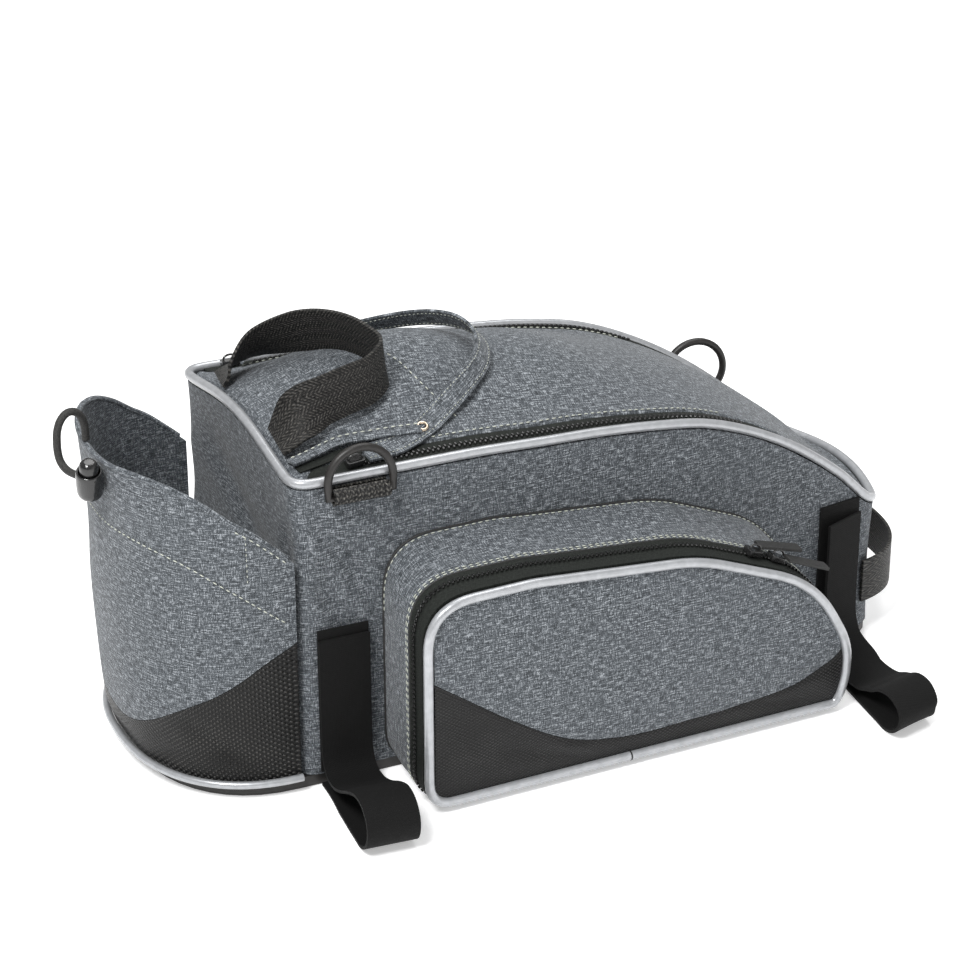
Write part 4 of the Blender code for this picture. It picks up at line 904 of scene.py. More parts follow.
settle("lid_zip_coils", coils, COIL)

# %% [markdown]
# By the near ring the zip stands open for a few centimetres. There the lid's edge is a hemmed
# fold that lifts off a dark slit, and a slanting seam runs from the crown down to it. The fold is
# a narrow band of the same cloth that lies over the slit, and its stitches follow it. The far
# side, which is out of sight, gets the same seam.

# %% Slit, hem and slanting seam
SLIT = ((0.008, -0.0665), (0.021, -0.0640), (0.033, -0.0620), (0.046, -0.0625))
HEM = ((0.006, -0.0625), (0.020, -0.0590), (0.033, -0.0560), (0.050, -0.0570), (0.075, -0.0590))
SLANT = ((0.070, -0.004), (0.079, -0.017), (0.086, -0.034), (0.093, -0.048), (0.097, -0.056))


def on_lid(points, count, lift):
    """Points on the lid above given places, and the outward vectors there."""
    line = through([(x, y, 0.0) for x, y in points], count)
    x, y = line[:, 0], line[:, 1]
    slope = (top_height(x + 0.002, y) - top_height(x - 0.002, y)) / 0.004
    tilt = (top_height(x, y + 0.002) - top_height(x, y - 0.002)) / 0.004
    out = np.column_stack([-slope, -tilt, np.ones(len(x))])
    out /= np.linalg.norm(out, axis=1)[:, None]
    return np.column_stack([x, y, top_height(x, y)]) + out * lift, out


line, out = on_lid(SLIT, 40, 0.0006)
slit = settle("lid_slit_tape", ribbon(line, np.cross(out, np.gradient(line, axis=0)), 0.0050, 0.0006), TAPE_CLOTH)
line, out = on_lid(HEM, 60, 0.0026)
across = np.cross(out, np.gradient(line, axis=0))
across = across / np.linalg.norm(across, axis=1)[:, None] - out * 0.22
hem = settle("lid_hem_fold", ribbon(line, across, 0.0075, 0.0014, arch=0.0008), GREY_CLOTH)
for sign in (-1.0, 1.0):
    line, out = on_lid([(x, -sign * y) for x, y in SLANT], 60, 0.0006)
    stitches(thread, line, out)
line, out = on_lid([(x, y + 0.001) for x, y in HEM], 60, 0.0047)
stitches(thread, line, out)

# %% [markdown]
# The handle is broad black webbing. Both ends are sewn flat to the lid's rear edge, and between
# them it stands on edge and falls over to the front in one loose curve. The thin band joins the
# two lid sliders, so that one pull opens both zips, and a ring rivet sits near its near end.
# Both are bands along a curve, with ribs that follow the length.

# %% Handle and opening band
HANDLE_WIDTH = 0.026
HANDLE_THICKNESS = 0.0016
BAND_WIDTH = 0.012
BAND_THICKNESS = 0.0014
RIBBON_LIFT = 0.002
HANDLE = (
    (0.017, -0.550, 1.10, 0.00, 0.0),
    (0.032, -0.563, 1.30, 0.25, 0.0),
    (0.058, -0.581, 1.50, 0.75, 0.0),
    (0.087, -0.594, 2.50, 1.00, 0.0),
    (0.121, -0.594, 3.25, 1.00, 0.0),
    (0.162, -0.563, 3.00, 1.00, 0.0),
    (0.191, -0.463, 2.50, 1.00, 0.1),
    (0.188, -0.300, 1.50, 1.00, 0.3),
    (0.165, -0.063, 0.80, 1.00, 0.4),
    (0.127, 0.200, 0.80, 1.00, 0.4),
    (0.081, 0.375, 1.20, 0.75, 0.3),
    (0.043, 0.450, 1.30, 0.30, 0.1),
    (0.017, 0.463, 1.10, 0.00, 0.0),
)
BAND = (
    (0.123, -0.850, 1.00, 0.00, 0.0),
    (0.173, -0.825, 0.90, 0.00, 0.0),
    (0.225, -0.738, 0.90, 0.00, 0.0),
    (0.277, -0.625, 1.00, 0.30, 0.0),
    (0.324, -0.506, 1.10, 0.75, 0.2),
    (0.358, -0.350, 1.10, 0.85, 0.4),
    (0.373, -0.150, 1.10, 0.85, 0.5),
    (0.361, 0.100, 1.00, 0.90, 0.5),
    (0.315, 0.388, 0.70, 0.95, 0.6),
    (0.240, 0.613, 0.80, 0.95, 0.6),
    (0.156, 0.738, 1.20, 0.90, 0.5),
    (0.107, 0.794, 1.20, 0.50, 0.2),
    (0.082, 0.825, 1.10, 0.00, 0.0),
)


def ribbon_stations(rows, count, width):
    """Middle points and width vectors of a band whose lower edge clears the lid."""
    scale = (BODY_LENGTH, REAR_WIDTH / 2, RIBBON_LIFT, 1.0, 1.0)
    table = through([np.array(row) * scale for row in rows], count)
    ahead = np.gradient(table[:, :2], axis=0)
    centres = []
    widths = []
    for (x, y, lift, on_edge, lean), along in zip(table, ahead):
        across = np.array([-along[1], along[0]]) / np.hypot(along[0], along[1])
        turn = min(max(on_edge, 0.0), 1.0) * math.pi / 2
        reach = width / 2 * max(math.cos(turn), 0.15)
        sides = [top_height(x + k * reach * across[0], y + k * reach * across[1]) for k in (-1, 0, 1)]
        level = np.array([across[0], across[1], (sides[2] - sides[0]) / (2 * reach) * math.cos(turn)])
        upright = np.array([0.0, 0.0, 1.0]) + lean * np.array([across[0], across[1], 0.0])
        upright /= np.linalg.norm(upright)
        widths.append(level * math.cos(turn) + upright * math.sin(turn))
        surface = max(sides[1], (sides[0] + sides[2]) / 2)
        centres.append((x, y, surface + lift + width / 2 * math.sin(turn) * upright[2]))
    return np.array(centres), widths


centres, widths = ribbon_stations(HANDLE, 140, HANDLE_WIDTH)
handle = settle("carry_handle_webbing", ribbon(centres, widths, HANDLE_WIDTH, HANDLE_THICKNESS), WEBBING,
                ["carry_handle"])
centres, widths = ribbon_stations(BAND, 150, BAND_WIDTH)
band = settle("opening_band_cloth", ribbon(centres, widths, BAND_WIDTH, BAND_THICKNESS), GREY_CLOTH,
              ["opening_band"])
for edge in (-0.36, 0.36):
    line = np.array(centres) + np.array([np.array(w) / np.linalg.norm(w) for w in widths]) * BAND_WIDTH * edge
    ahead = np.gradient(line, axis=0)
    out = np.cross(ahead, np.array(widths))
    out /= np.linalg.norm(out, axis=1)[:, None]
    for face in (1.0, -1.0):
        stitches(thread, line + out * face * (BAND_THICKNESS / 2 + 0.0001), out * face,
                 length=0.0015, pitch=0.0024, thick=0.0002)

# %% [markdown]
# The bottle pocket is a round sleeve of the grey cloth, open at the top, whose mouth rises from
# the body to a tip. The hem is turned in and held by a dashed line of stitches. Its lower third
# is dotted black nylon with a curved seam, and a thin piping runs along the ground. It stands
# empty here, so it keeps the round shape that the stiff hem gives it.

# %% Bottle pocket
SLEEVE_FOLDS = (
    ((-0.020, -0.078, 0.100), (-0.060, -0.050, 0.070), 0.0060, -0.0014),
    ((-0.040, -0.070, 0.075), (-0.072, -0.020, 0.060), 0.0080, -0.0015),
)
FOOT_FOLDS = (
    ((-0.066, -0.040, 0.012), (-0.030, -0.074, 0.030), 0.0050, -0.0027),
    ((-0.020, -0.078, 0.016), (-0.052, -0.062, 0.040), 0.0045, -0.0020),
    ((-0.070, 0.010, 0.010), (-0.060, -0.045, 0.022), 0.0040, -0.0017),
)


def bottle_depth(z):
    return BOTTLE_DEPTH * np.interp(z, *FLARE_CURVE)


def bottle_point(angle, z, grow=0.0):
    """A point of the pocket's wall: angle runs from -90 degrees at the near seam to 90."""
    c = np.abs(np.cos(angle)) ** (2 / BOTTLE_ROUNDNESS)
    s = np.abs(np.sin(angle)) ** (2 / BOTTLE_ROUNDNESS)
    x = -(bottle_depth(z) + grow) * c - GAP
    return np.column_stack([x, np.sign(angle) * (REAR_WIDTH / 2 + grow) * s, z])


def out_share(x):
    return np.clip(-x / BOTTLE_DEPTH, 0.0, 1.0)


def mouth_height(x):
    return BOTTLE_LOW + (BOTTLE_TIP - BOTTLE_LOW) * np.interp(out_share(x), *MOUTH_CURVE)


def foot_seam(x):
    return FOOT_LOW + (FOOT_HIGH - FOOT_LOW) * np.interp(out_share(x), *FOOT_CURVE)


def bottle_angles(u):
    """Angles that are close together near both seams, where the wall turns."""
    t = 2 * u - 1
    return np.pi / 2 * np.sign(t) * np.abs(t) ** 1.15


def bottle_sheet(low, high, table, seed):
    def place(u, v):
        angle = bottle_angles(u)
        plan_x = bottle_point(angle, np.full(len(u), BOTTLE_TIP / 2))[:, 0]
        z = low(plan_x) + v * (high(plan_x) - low(plan_x))
        points = bottle_point(angle, z)
        loose = np.sin(np.pi * v) ** 0.6 * np.cos(angle) ** 0.3
        depth = folds(points, table) - np.abs(ruffle(points, 0.04, 0.0010, seed))
        inner = bottle_point(angle, z, -0.01)
        inward = (inner - points) / 0.01
        return points - inward * (depth * loose)[:, None]

    return place


def round_cloth(points, u, v):
    return np.stack([bottle_angles(u) * 0.078, points[:, 2]], axis=1)


bm = bent_grid(120, 40, bottle_sheet(lambda x: foot_seam(x) + GAP, mouth_height, SLEEVE_FOLDS, 21),
               round_cloth, wall=BOTTLE_WALL, heart=(0.0, 0.0, 0.08))
sleeve = settle("bottle_sleeve_cloth", bm, GREY_CLOTH, ["bottle_pocket_sleeve"])
bm = bent_grid(120, 24, bottle_sheet(lambda x: BASE_HEIGHT + GAP + 0 * x, foot_seam, FOOT_FOLDS, 22),
               round_cloth, wall=BOTTLE_WALL, heart=(0.0, 0.0, 0.03))
foot = settle("bottle_foot_cloth", bm, MESH_CLOTH, ["bottle_pocket_foot"])
angles = bottle_angles(np.linspace(0.0, 1.0, 90))
z = np.full(90, BASE_HEIGHT + GAP + FOOT_PIPING / 2)
line = bottle_point(angles, z, FOOT_PIPING / 2 + GAP)
tube("bottle_foot_piping", line, FOOT_PIPING, SILVER, ["bottle_pocket_piping"])

# %% [markdown]
# The hem's stitches follow the mouth. The dashed line starts low at the near seam, climbs beside
# the mouth and runs round under the tip. Another short row closes the sleeve's vertical seam,
# and a last one runs close to the mouth's edge.

# %% Stitches of the bottle pocket


def on_bottle(angle, height):
    """Points on the outside of the sleeve and their outward vectors."""
    points = bottle_point(angle, height, 0.0002)
    return points, (bottle_point(angle, height, 0.01) - points) / 0.01


HEM_LINE = ((0.000, 0.092), (0.012, 0.101), (0.025, 0.1115), (0.036, 0.1195), (0.050, 0.1292),
            (0.062, 0.1345), (0.070, 0.1365), (0.075, 0.1360))
angle = bottle_angles(np.linspace(0.001, 0.999, 240))
plan_x = bottle_point(angle, np.full(240, BOTTLE_TIP / 2))[:, 0]
line, out = on_bottle(angle, np.interp(-plan_x, *dense(HEM_LINE, 1)))
stitches(thread, line[3:-3], out[3:-3])
near_edge = (plan_x > -0.030) & (plan_x < -0.003) & (angle < 0)
line, out = on_bottle(angle[near_edge], mouth_height(plan_x[near_edge]) - 0.0026)
stitches(thread, line, out)
line, out = on_bottle(np.full(20, -1.30), np.linspace(0.120, 0.146, 20))
stitches(thread, line, out, length=0.0016, pitch=0.0026, thick=0.00025)
line, out = on_bottle(angle, mouth_height(plan_x) - 0.0002)
middle, outward = line[2:-2] - out[2:-2] * 0.0012, out[2:-2]
along = np.gradient(middle, axis=0)
rise = np.cross(outward, along / np.linalg.norm(along, axis=1)[:, None])
fold_length = line_length(middle)


def fold_place(u, v):
    """The rolled edge: a round bead of cloth along the mouth."""
    i = np.round(u * (len(middle) - 1)).astype(int)
    c, s = np.cos(math.tau * v)[:, None], np.sin(math.tau * v)[:, None]
    return middle[i] + (outward[i] * c + rise[i] * s) * 0.0016


bm = bent_grid(len(middle) - 1, 10, fold_place, lambda p, u, v: np.stack([u * fold_length, v * 0.01], axis=1),
               closed=True, heart=(-0.03, 0.0, 0.10))
bmesh.ops.recalc_face_normals(bm, faces=bm.faces)
settle("bottle_mouth_fold", bm, GREY_CLOTH, angle=80.0)

# %% [markdown]
# A side pocket is a shallow box. Its side wall, the gusset, comes out of the body and is grey
# for the first three centimetres. Then comes the zip, which runs from the lower rear corner
# over the top to the nose, and then the piping and the front. Two rows of stitches hold the zip,
# and one shows where the gusset leaves the body.

# %% Side pocket rules


def straight(a, b, step):
    count = int(math.dist(a, b) / step) + 1
    return [tuple(np.array(a) + (np.array(b) - np.array(a)) * k / count) for k in range(1, count)]


def pocket_outline(step=0.002):
    """The pocket's outline from outside, in x and z, closed and finely spaced."""
    rows = [(np.array((POCKET_START + along * POCKET_LENGTH, POCKET_LOW + up * POCKET_HEIGHT)),
             radius * POCKET_HEIGHT) for along, up, radius in POCKET_CORNERS]
    outline = []
    for k, (here, radius) in enumerate(rows):
        before = rows[k - 1][0] - here
        after = rows[(k + 1) % len(rows)][0] - here
        before_length = np.linalg.norm(before)
        after_length = np.linalg.norm(after)
        before = before / before_length
        after = after / after_length
        half = math.acos(np.clip(np.dot(before, after), -1, 1)) / 2
        reach = min(radius / math.tan(half), 0.49 * before_length, 0.49 * after_length)
        turn = corner(here + before * reach, here, here + after * reach, max(int(reach / step), 4))
        if outline:
            outline += straight(outline[-1], turn[0], 2 * step)
        outline += turn
    line = np.array(outline + straight(outline[-1], outline[0], 2 * step))
    line[:, 0] = np.clip(line[:, 0], POCKET_START, POCKET_START + POCKET_LENGTH)
    line[:, 1] = np.maximum(line[:, 1], POCKET_LOW)
    return line


def pocket_face(x):
    return REAR_WIDTH / 2 + POCKET_DEPTH - POCKET_TOE * (x - POCKET_START) / POCKET_LENGTH


def pocket_point(x, z, out, sign):
    """A point of the pocket, out of the way from the body's wall (0) to its face (1)."""
    wall = half_width(x) + GAP
    y = wall + out * (pocket_face(x) - wall)
    flare = POCKET_FLARE + (1.0 - POCKET_FLARE) * out
    low = POCKET_LOW + (BASE_HEIGHT + GAP - POCKET_LOW) * np.maximum(1 - 3 * out, 0.0)
    return np.column_stack([x, sign * y, low + (z - POCKET_LOW) * flare])


def pocket_lines(sign, out, first=0.0, last=1.0, lift=0.0):
    """A line round the pocket's wall at one depth, and its outward vectors.

    first and last are shares of the way from the lower rear corner over the top."""
    ring = pocket_outline()
    ring = np.vstack([ring, ring[:1]])
    normals = -outline_normals(ring[:-1])
    normals = normals / np.linalg.norm(normals, axis=1)[:, None]
    normals = np.vstack([normals, normals[:1]])
    both = resample(np.hstack([ring, normals]), 600, 2)
    both = both[int(first * 599):int(last * 599) + 1]
    out_share_here = np.full(len(both), out)
    points = pocket_point(both[:, 0], both[:, 1], out_share_here, sign)
    away = np.column_stack([both[:, 2], np.zeros(len(both)), both[:, 3]])
    return points + away * lift, away


def pocket_ring(sign, start, end, puff, rows, finish, name, replaces):
    ring = pocket_outline()
    around = line_length(np.vstack([ring, ring[:1]]))
    count = 360

    def place(u, v):
        ups = []
        for out in np.linspace(start, end, rows + 1):
            line, away = pocket_lines(sign, out)
            ups.append(resample(np.hstack([line, away]), count + 1))
        ups = np.array(ups)
        at = ups[np.round(v * rows).astype(int), np.round(u * count).astype(int) % count]
        bulge = puff * np.sin(np.pi * v)
        low = np.clip((at[:, 2] - 0.012) / 0.02, 0.0, 1.0)
        wave = ruffle(at[:, :3], 0.03, 0.0004, 31) * np.sin(np.pi * v)
        return at[:, :3] + at[:, 3:] * ((bulge + wave) * low)[:, None]

    def cloth(points, u, v):
        return np.stack([u * around, (start + v * (end - start)) * POCKET_DEPTH], axis=1)

    bm = bent_grid(count, rows, place, cloth, wall=POCKET_WALL * 0.8, closed=True,
                   heart=(0.17, sign * 0.105, 0.05))
    return settle(name, bm, finish, replaces)


def crossings(line, x):
    """Lowest and highest z at which a closed outline crosses x."""
    hits = []
    for (x0, z0), (x1, z1) in zip(line, np.roll(line, -1, axis=0)):
        if (x0 - x) * (x1 - x) <= 0 and x0 != x1:
            hits.append(z0 + (z1 - z0) * (x - x0) / (x1 - x0))
    return min(hits), max(hits)


# %% [markdown]
# The front of the pocket is padded and domed. The grey upper part meets the black lower part in
# a curved seam, and both are gathered a little where they meet the piping. The lower part is
# coated nylon, which takes long slanting creases with a soft shine, partly real gloss and partly
# painted sheen.

# %% Side pockets
PANEL_COLUMNS = 120
EDGE = PIPING - PIPING_LAP + 2 * GAP
PANEL_FOLDS = (
    ((0.080, -0.13, 0.030), (0.130, -0.13, 0.014), 0.0040, -0.0013),
    ((0.110, -0.13, 0.026), (0.150, -0.13, 0.010), 0.0030, 0.0010),
    ((0.215, -0.13, 0.020), (0.265, -0.13, 0.012), 0.0030, -0.0013),
    ((0.240, -0.13, 0.026), (0.282, -0.13, 0.030), 0.0035, -0.0012),
    ((0.060, -0.13, 0.060), (0.075, -0.13, 0.030), 0.0050, -0.0013),
    ((0.090, -0.13, 0.090), (0.200, -0.13, 0.080), 0.0120, -0.0010),
)


def pocket_panel(sign, part, rows, finish, name, replaces):
    shares = (1 - np.cos(np.linspace(0, np.pi, PANEL_COLUMNS + 1))) / 2
    columns = POCKET_START + EDGE + shares * (POCKET_LENGTH - 2 * EDGE)
    line = inset(pocket_outline(), EDGE - 2 * GAP)
    limits = np.array([crossings(line, x) for x in np.clip(columns, POCKET_START + EDGE, None)])
    seam = POCKET_LOW + np.interp((columns - POCKET_START) / POCKET_LENGTH, *SEAM_CURVE) * POCKET_HEIGHT
    seam = np.clip(seam, limits[:, 0] + 0.0006, limits[:, 1] - 0.0006)
    middle = POCKET_START + POCKET_LENGTH / 2

    def place(u, v):
        i = np.round(u * PANEL_COLUMNS).astype(int)
        x, low, high, split = columns[i], limits[i, 0], limits[i, 1], seam[i]
        bottom, top = (split + GAP / 2, high) if part else (low, split - GAP / 2)
        z = bottom + v * (top - bottom)
        across = 2 * (z - low) / np.maximum(high - low, 1e-6) - 1
        along = (x - middle) / (POCKET_LENGTH / 2)
        full = np.maximum(1 - across**2, 0.0) * np.maximum(1 - along**4, 0.0)
        flat = np.column_stack([x, np.full(len(x), -0.13), z])
        to_edge = np.minimum(np.minimum(high - z, z - low), np.minimum(x - columns[0], columns[-1] - x))
        loose = np.clip(to_edge / 0.012, 0.0, 1.0)
        seam_dip = -0.0006 * np.exp(-(((z - split) / 0.0016) ** 2))
        depth = POCKET_DOME * full + loose * (folds(flat, PANEL_FOLDS) + ruffle(flat, 0.035, 0.0008, 41)) + seam_dip
        return np.column_stack([x, sign * (pocket_face(x) - PIPING / 2 + PANEL_THICKNESS + depth), z])

    bm = bent_grid(PANEL_COLUMNS, rows, place, lambda p, u, v: p[:, [0, 2]], wall=0.0018)
    panel = settle(name, bm, finish, replaces)
    return panel


for side, sign in (("near", -1.0), ("far", 1.0)):
    pocket_ring(sign, 0.0, GUSSET_END - GAP / POCKET_DEPTH, 0.0007, 12, GREY_CLOTH,
                "pocket_gusset_cloth_" + side, ["side_pocket_gusset_" + side])
    pocket_ring(sign, GUSSET_END, ZIP_END, -0.0004, 6, TAPE_CLOTH,
                "pocket_zip_tape_" + side, ["side_pocket_zip_" + side])
    pocket_panel(sign, 1, 44, GREY_CLOTH, "pocket_front_grey_" + side,
                 ["side_pocket_panel_upper_" + side])
    pocket_panel(sign, 0, 20, RIPSTOP, "pocket_front_black_" + side,
                 ["side_pocket_panel_lower_" + side])
    ring = inset(pocket_outline(), PIPING / 2 - PIPING_LAP)
    points = [(x, sign * pocket_face(x), max(z, PIPING / 2 + GAP)) for x, z in ring]
    tube("pocket_piping_film_" + side, points, PIPING, SILVER,
         ["side_pocket_piping_" + side], cyclic=True)
    for out in (0.575, 0.607):
        line, away = pocket_lines(sign, out, 0.02, 0.63, 0.0004)
        stitches(thread, line, away)
    line, away = pocket_lines(sign, 0.035, 0.14, 0.60, 0.0004)
    stitches(thread, line, away)
    # A thin dark cord along the gusset's root is painted shadow: the contact shadow where the gusset meets the body
    # wall.
    line, away = pocket_lines(sign, 0.0, lift=0.0002)
    tube("pocket_root_painted_shadow_" + side, line, 0.0013, DARK_THREAD_AND_SHADOW)
    line, away = pocket_lines(sign, GUSSET_END, lift=-0.0002)
    tube("pocket_zip_seam_" + side, line, 0.0010, DARK_THREAD_AND_SHADOW)
    pocket_coil = bmesh.new()
    line, away = pocket_lines(sign, ZIP_MIDDLE, 0.015, 0.56, 0.0)
    coil(pocket_coil, line, away)
    settle("pocket_zip_coil_" + side, pocket_coil, COIL)
joint = ring[int(np.argmin(np.abs(ring[:, 0] - 0.160) + (ring[:, 1] > 0.02)))]
for side, sign in (("near", -1.0), ("far", 1.0)):
    ends = [(joint[0] + k, sign * pocket_face(joint[0]), max(joint[1], PIPING / 2 + GAP)) for k in (-0.0004, 0.0004)]
    tube("pocket_piping_joint_" + side, ends, PIPING + 0.0003, DARK_THREAD_AND_SHADOW)
settle("sewing_thread_rows", thread, THREAD, smooth=True, angle=80.0)

# %% [markdown]
# The straps are hook-and-loop tape. Each is sewn flat over a patch on the wall, comes down to
# the ground, runs out and folds back under itself in a soft teardrop, which is how such straps
# lie when the bag stands off the rack. The side view of each fold is a short table.

# %% Straps and front band
STRAP_WIDTH = 0.027
STRAP_THICKNESS = 0.0016
PATCH_THICKNESS = 0.0011
PATCH_HEIGHT = 0.080
PATCH_LOW = 0.008
STRAP_OFF_WALL = 0.0026
STRAP_OFF_GROUND = 0.0012
REAR_STRAP_PATH = ((0.000, 1.000), (0.000, 0.719), (0.000, 0.425), (0.011, 0.205), (0.087, 0.101),
                   (0.236, 0.098), (0.427, 0.169), (0.617, 0.260), (0.780, 0.313), (0.916, 0.297),
                   (1.000, 0.211), (0.977, 0.089), (0.861, 0.012), (0.698, 0.000), (0.372, 0.000),
                   (-0.016, 0.000))
FRONT_STRAP_PATH = ((0.000, 1.000), (0.000, 0.721), (0.000, 0.416), (0.017, 0.188), (0.111, 0.080),
                    (0.347, 0.056), (0.529, 0.084), (0.647, 0.150), (0.775, 0.226), (0.893, 0.245),
                    (0.984, 0.194), (1.000, 0.086), (0.925, 0.013), (0.764, 0.000), (0.422, 0.000),
                    (-0.013, 0.000))
STRAPS = (
    ("rear", 0.0235, math.radians(-4.5), math.radians(-4.5), 0.0, REAR_STRAP_PATH, 0.0736, 0.0818),
    ("front", BODY_LENGTH - 0.0265, math.radians(-15.0), math.radians(6.0), math.radians(13.0),
     FRONT_STRAP_PATH, 0.0934, 0.0788),
)
FRONT_BAND_WIDTH = 0.025
FRONT_BAND_LOW = 0.022
FRONT_BAND_BOW = 0.018
FRONT_BAND_THICKNESS = 0.0016


def strap(side, sign, which, x, heading, turned, twist, path, reach_size, top_size):
    wall_turn = math.atan2(half_width(x + 0.012) - half_width(x - 0.012), 0.024)
    level = Vector((math.cos(wall_turn), sign * math.sin(wall_turn), 0.0))
    out = Vector((-level.y, level.x, 0.0)) * sign
    root = Vector((x, sign * half_width(x), 0.0))
    stand_off = STRAP_WIDTH / 2 * math.sin(twist)
    line = [(STRAP_OFF_WALL + a * reach_size, STRAP_OFF_GROUND + b * top_size) for a, b in path]
    centres = []
    widths = []
    for reach, up in through(line, 150):
        on_ground = min(reach / 0.03, 1.0)
        turn = -twist * (1 - on_ground) - turned * on_ground
        drift = math.tan(heading) * reach * on_ground
        off_wall = stand_off * max(1 - on_ground, min(max((up - 0.002) / 0.012, 0.0), 1.0))
        centres.append(root + out * (reach + off_wall) + level * drift + Vector((0, 0, up)))
        widths.append(Matrix.Rotation(turn * sign, 3, "Z") @ level)
    name = which + "_" + side
    tape = settle("strap_tape_" + name, ribbon(centres, widths, STRAP_WIDTH, STRAP_THICKNESS), NAP,
                  ["strap_" + name])
    middle = root + out * (PATCH_THICKNESS / 2 + GAP)
    centres = [middle + Vector((0, 0, PATCH_LOW + t * PATCH_HEIGHT)) for t in np.linspace(0, 1, 30)]
    settle("strap_patch_tape_" + name, ribbon(centres, [level] * 30, STRAP_WIDTH, PATCH_THICKNESS), NAP,
           ["strap_patch_" + name])


for side, sign in (("near", -1.0), ("far", 1.0)):
    for which, x, heading, turned, twist, path, reach_size, top_size in STRAPS:
        strap(side, sign, which, x, heading, turned, twist, path, reach_size, top_size)

ring = inset(body_plan(), -(FRONT_BAND_THICKNESS / 2 + GAP))
front = sorted((y, x) for x, y in ring if x > BODY_LENGTH - 0.7 * CORNER)
ys = np.array([y for y, _ in front])
stations = np.linspace(ys[0], ys[-1], 120)
bow = FRONT_BAND_BOW * np.maximum(1 - (stations / ys[-1]) ** 4, 0.0) ** 0.8
middle = FRONT_BAND_LOW + FRONT_BAND_WIDTH / 2
centres = np.column_stack([np.interp(stations, ys, [x for _, x in front]) + bow, stations, np.full(120, middle)])
settle("front_band_webbing", ribbon(centres, [(0, 0, 1)] * 120, FRONT_BAND_WIDTH, FRONT_BAND_THICKNESS),
       WEBBING, ["front_band"])

# %% [markdown]
# The two rings are moulded acetal on short tabs of coarse webbing. Each ring is drawn again as a
# round wire and each tab as a strip of webbing round its bar. The sliders, rivet and base board
# are hard, and their imported shape is right, so they keep it. A weld closes the seams that the
# file format leaves between faces, and a small bevel rounds them.

# %% Rings, tabs, sliders, rivet and base
RING_WIDTH = 0.038
RING_HEIGHT = 0.0262
RING_WIRE = 0.0042
RING_CLEARANCE = 0.0005
RING_DROP = 0.0078
TAB_WIDTH = 0.029
TAB_WEB = 0.0013


def wall_frame(x, z, sign):
    """Frame on the body's wall: X along the top seam's slope, Y outwards, Z up the wall."""
    turn = half_width(x + 0.01) - half_width(x - 0.01)
    seam = Vector((0.02, sign * turn, seam_height(x + 0.01) - seam_height(x - 0.01))) * sign
    out = Vector((-turn, sign * 0.02, 0.0))
    seam.normalize()
    out.normalize()
    turned = Matrix((seam, out, seam.cross(out))).transposed().to_4x4()
    return Matrix.Translation((x, sign * half_width(x), z)) @ turned


def dress(name, finish, rounding=0.0, levels=0):
    """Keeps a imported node, welds it, rounds its edges and gives it a finish."""
    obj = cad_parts[name]
    obj.data.materials.clear()
    obj.data.materials.append(finish)
    weld = obj.modifiers.new("weld", "WELD")
    weld.merge_threshold = 1e-5
    if rounding:
        round_off = obj.modifiers.new("round", "BEVEL")
        round_off.width = rounding
        round_off.segments = 3
        round_off.limit_method = "ANGLE"
        round_off.angle_limit = math.radians(35)
    if levels:
        smooth = obj.modifiers.new("smooth", "SUBSURF")
        smooth.levels = levels
        smooth.render_levels = levels
    return obj


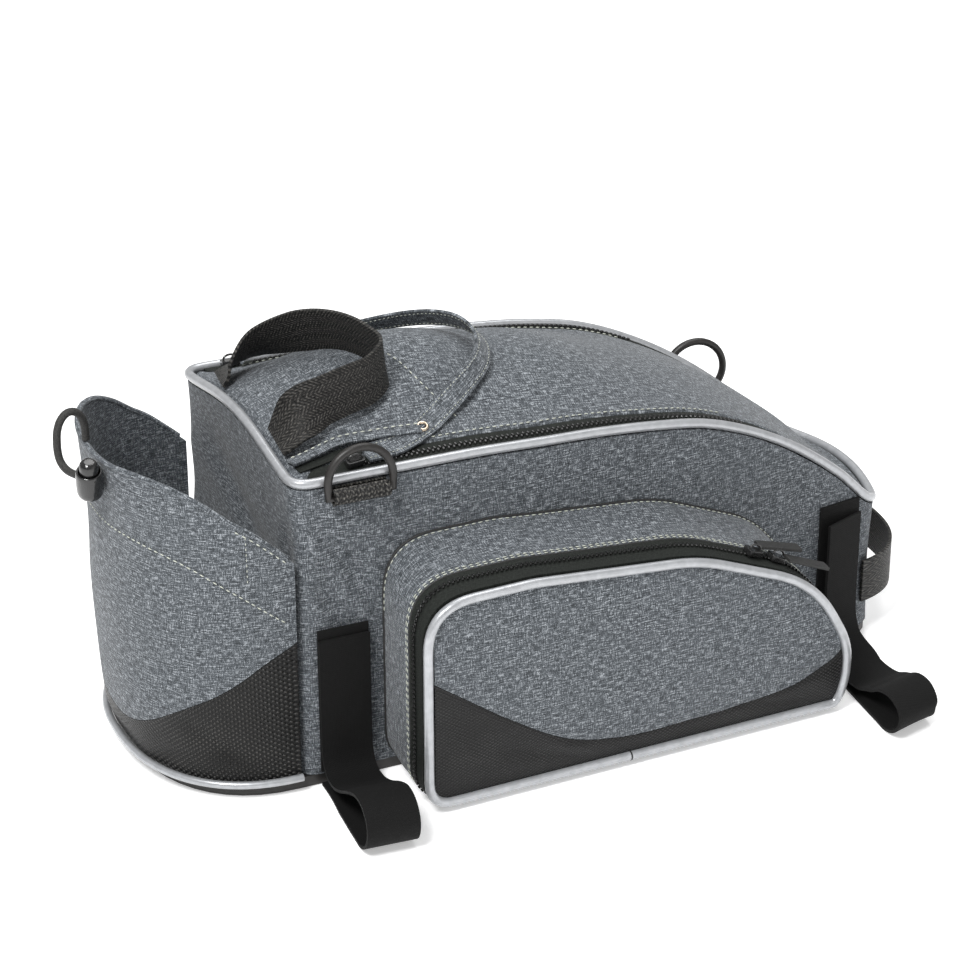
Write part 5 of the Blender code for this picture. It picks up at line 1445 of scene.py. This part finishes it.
for side, sign, x in (("near", -1.0, 0.0335), ("far", 1.0, BODY_LENGTH - 0.043)):
    hinge = wall_frame(x, seam_height(x), sign)
    hinge = hinge @ Matrix.Translation((0.0, RING_WIRE / 2 + RING_CLEARANCE + TAB_WEB + GAP, -RING_DROP))
    radius = RING_WIRE / 2 + RING_CLEARANCE + TAB_WEB / 2
    top = RING_DROP - PIPING / 2 - 3 * GAP
    profile = [(-radius, top)]
    profile += [(radius * math.cos(a), radius * math.sin(a)) for a in np.linspace(math.pi, math.tau, 24)]
    profile += [(radius, top * 0.55), (-radius * 0.1, top * 0.9)]
    rows = [(0.0, y, z) for y, z in profile]
    line = resample(rows, 60)
    centres = [hinge @ Vector(p) for p in line]
    widths = [hinge.to_3x3() @ Vector((1.0, 0.0, 0.0))] * 60
    settle("d_ring_tab_webbing_" + side, ribbon(centres, widths, TAB_WIDTH, TAB_WEB), TAB_WEBBING,
           ["d_ring_tab_" + side])
    half = RING_WIDTH / 2 - RING_WIRE / 2
    level = RING_HEIGHT - RING_WIRE / 2 - half
    arch = [(half * math.cos(a), 0.0, level + half * math.sin(a)) for a in np.linspace(0, math.pi, 41)]
    bar = [(-half, 0.0, 0.0), (-half * 0.5, 0.0, 0.0), (half * 0.5, 0.0, 0.0), (half, 0.0, 0.0)]
    tube("d_ring_wire_" + side, [hinge @ Vector(p) for p in arch + bar], RING_WIRE, ACETAL,
         ["d_ring_" + side], cyclic=True, body="d_ring_" + side + "_body")
    dress("lid_slider_" + side, ZINC, 0.0005)
    for which in ("rear", "front"):
        dress("side_pocket_slider_" + which + "_" + side, ZINC, 0.0005)
        dress("side_pocket_pull_" + which + "_" + side, DARK_THREAD_AND_SHADOW, 0.0003)
dress("opening_band_rivet", NICKEL, 0.0002)
dress("base_panel", ACETAL, 0.0008)

# %% [markdown]
# Each slider carries a small wire bail over its back.
# They are black enamelled wire, so they show as sharp glints beside the dull tape.

# %% Slider bails
SLIDER_HEIGHT = 0.0032
SLIDER_PLACES = (("rear", 0.776, 1.0), ("front", 0.833, -1.0))


def bail(name, frame_here, reach, wire=0.0012):
    """A wire arch that stands along a slider's back."""
    points = [(reach * math.cos(a), 0.0, SLIDER_HEIGHT / 2 + 0.0024 * math.sin(a))
              for a in np.linspace(0.0, math.pi, 17)]
    tube(name, [frame_here @ Vector(p) for p in points], wire, ZINC)


def zip_frame(point, ahead, out):
    """A slider's frame on a zip."""
    forward = Vector(ahead).normalized()
    normal = Vector(out).normalized()
    side = normal.cross(forward).normalized()
    turned = Matrix((forward, side, forward.cross(side))).transposed().to_4x4()
    return Matrix.Translation(Vector(point) + normal * (SLIDER_HEIGHT / 2 + 2 * GAP)) @ turned


for side, sign in (("near", -1.0), ("far", 1.0)):
    for which, along, aside in SLIDER_PLACES:
        x = POCKET_START + along * POCKET_LENGTH
        line, away = pocket_lines(sign, ZIP_MIDDLE)
        top = np.where(line[:, 2] > 0.06, np.abs(line[:, 0] - x), 1.0)
        k = int(np.argmin(top))
        bail("pocket_bail_" + which + "_" + side, zip_frame(line[k], line[k + 2] - line[k - 2], away[k]), 0.0034)
    x = (0.104 if sign < 0 else 0.0694) * BODY_LENGTH
    line, out = on_lid([(x - 0.02, sign * (half_width(x) - BESIDE_PIPING - ZIP_WIDTH / 2)),
                        (x, sign * (half_width(x) - BESIDE_PIPING - ZIP_WIDTH / 2)),
                        (x + 0.02, sign * (half_width(x) - BESIDE_PIPING - ZIP_WIDTH / 2))], 41, 0.0)
    bail("lid_bail_" + side, zip_frame(line[20], line[22] - line[18], out[20]), 0.0036)
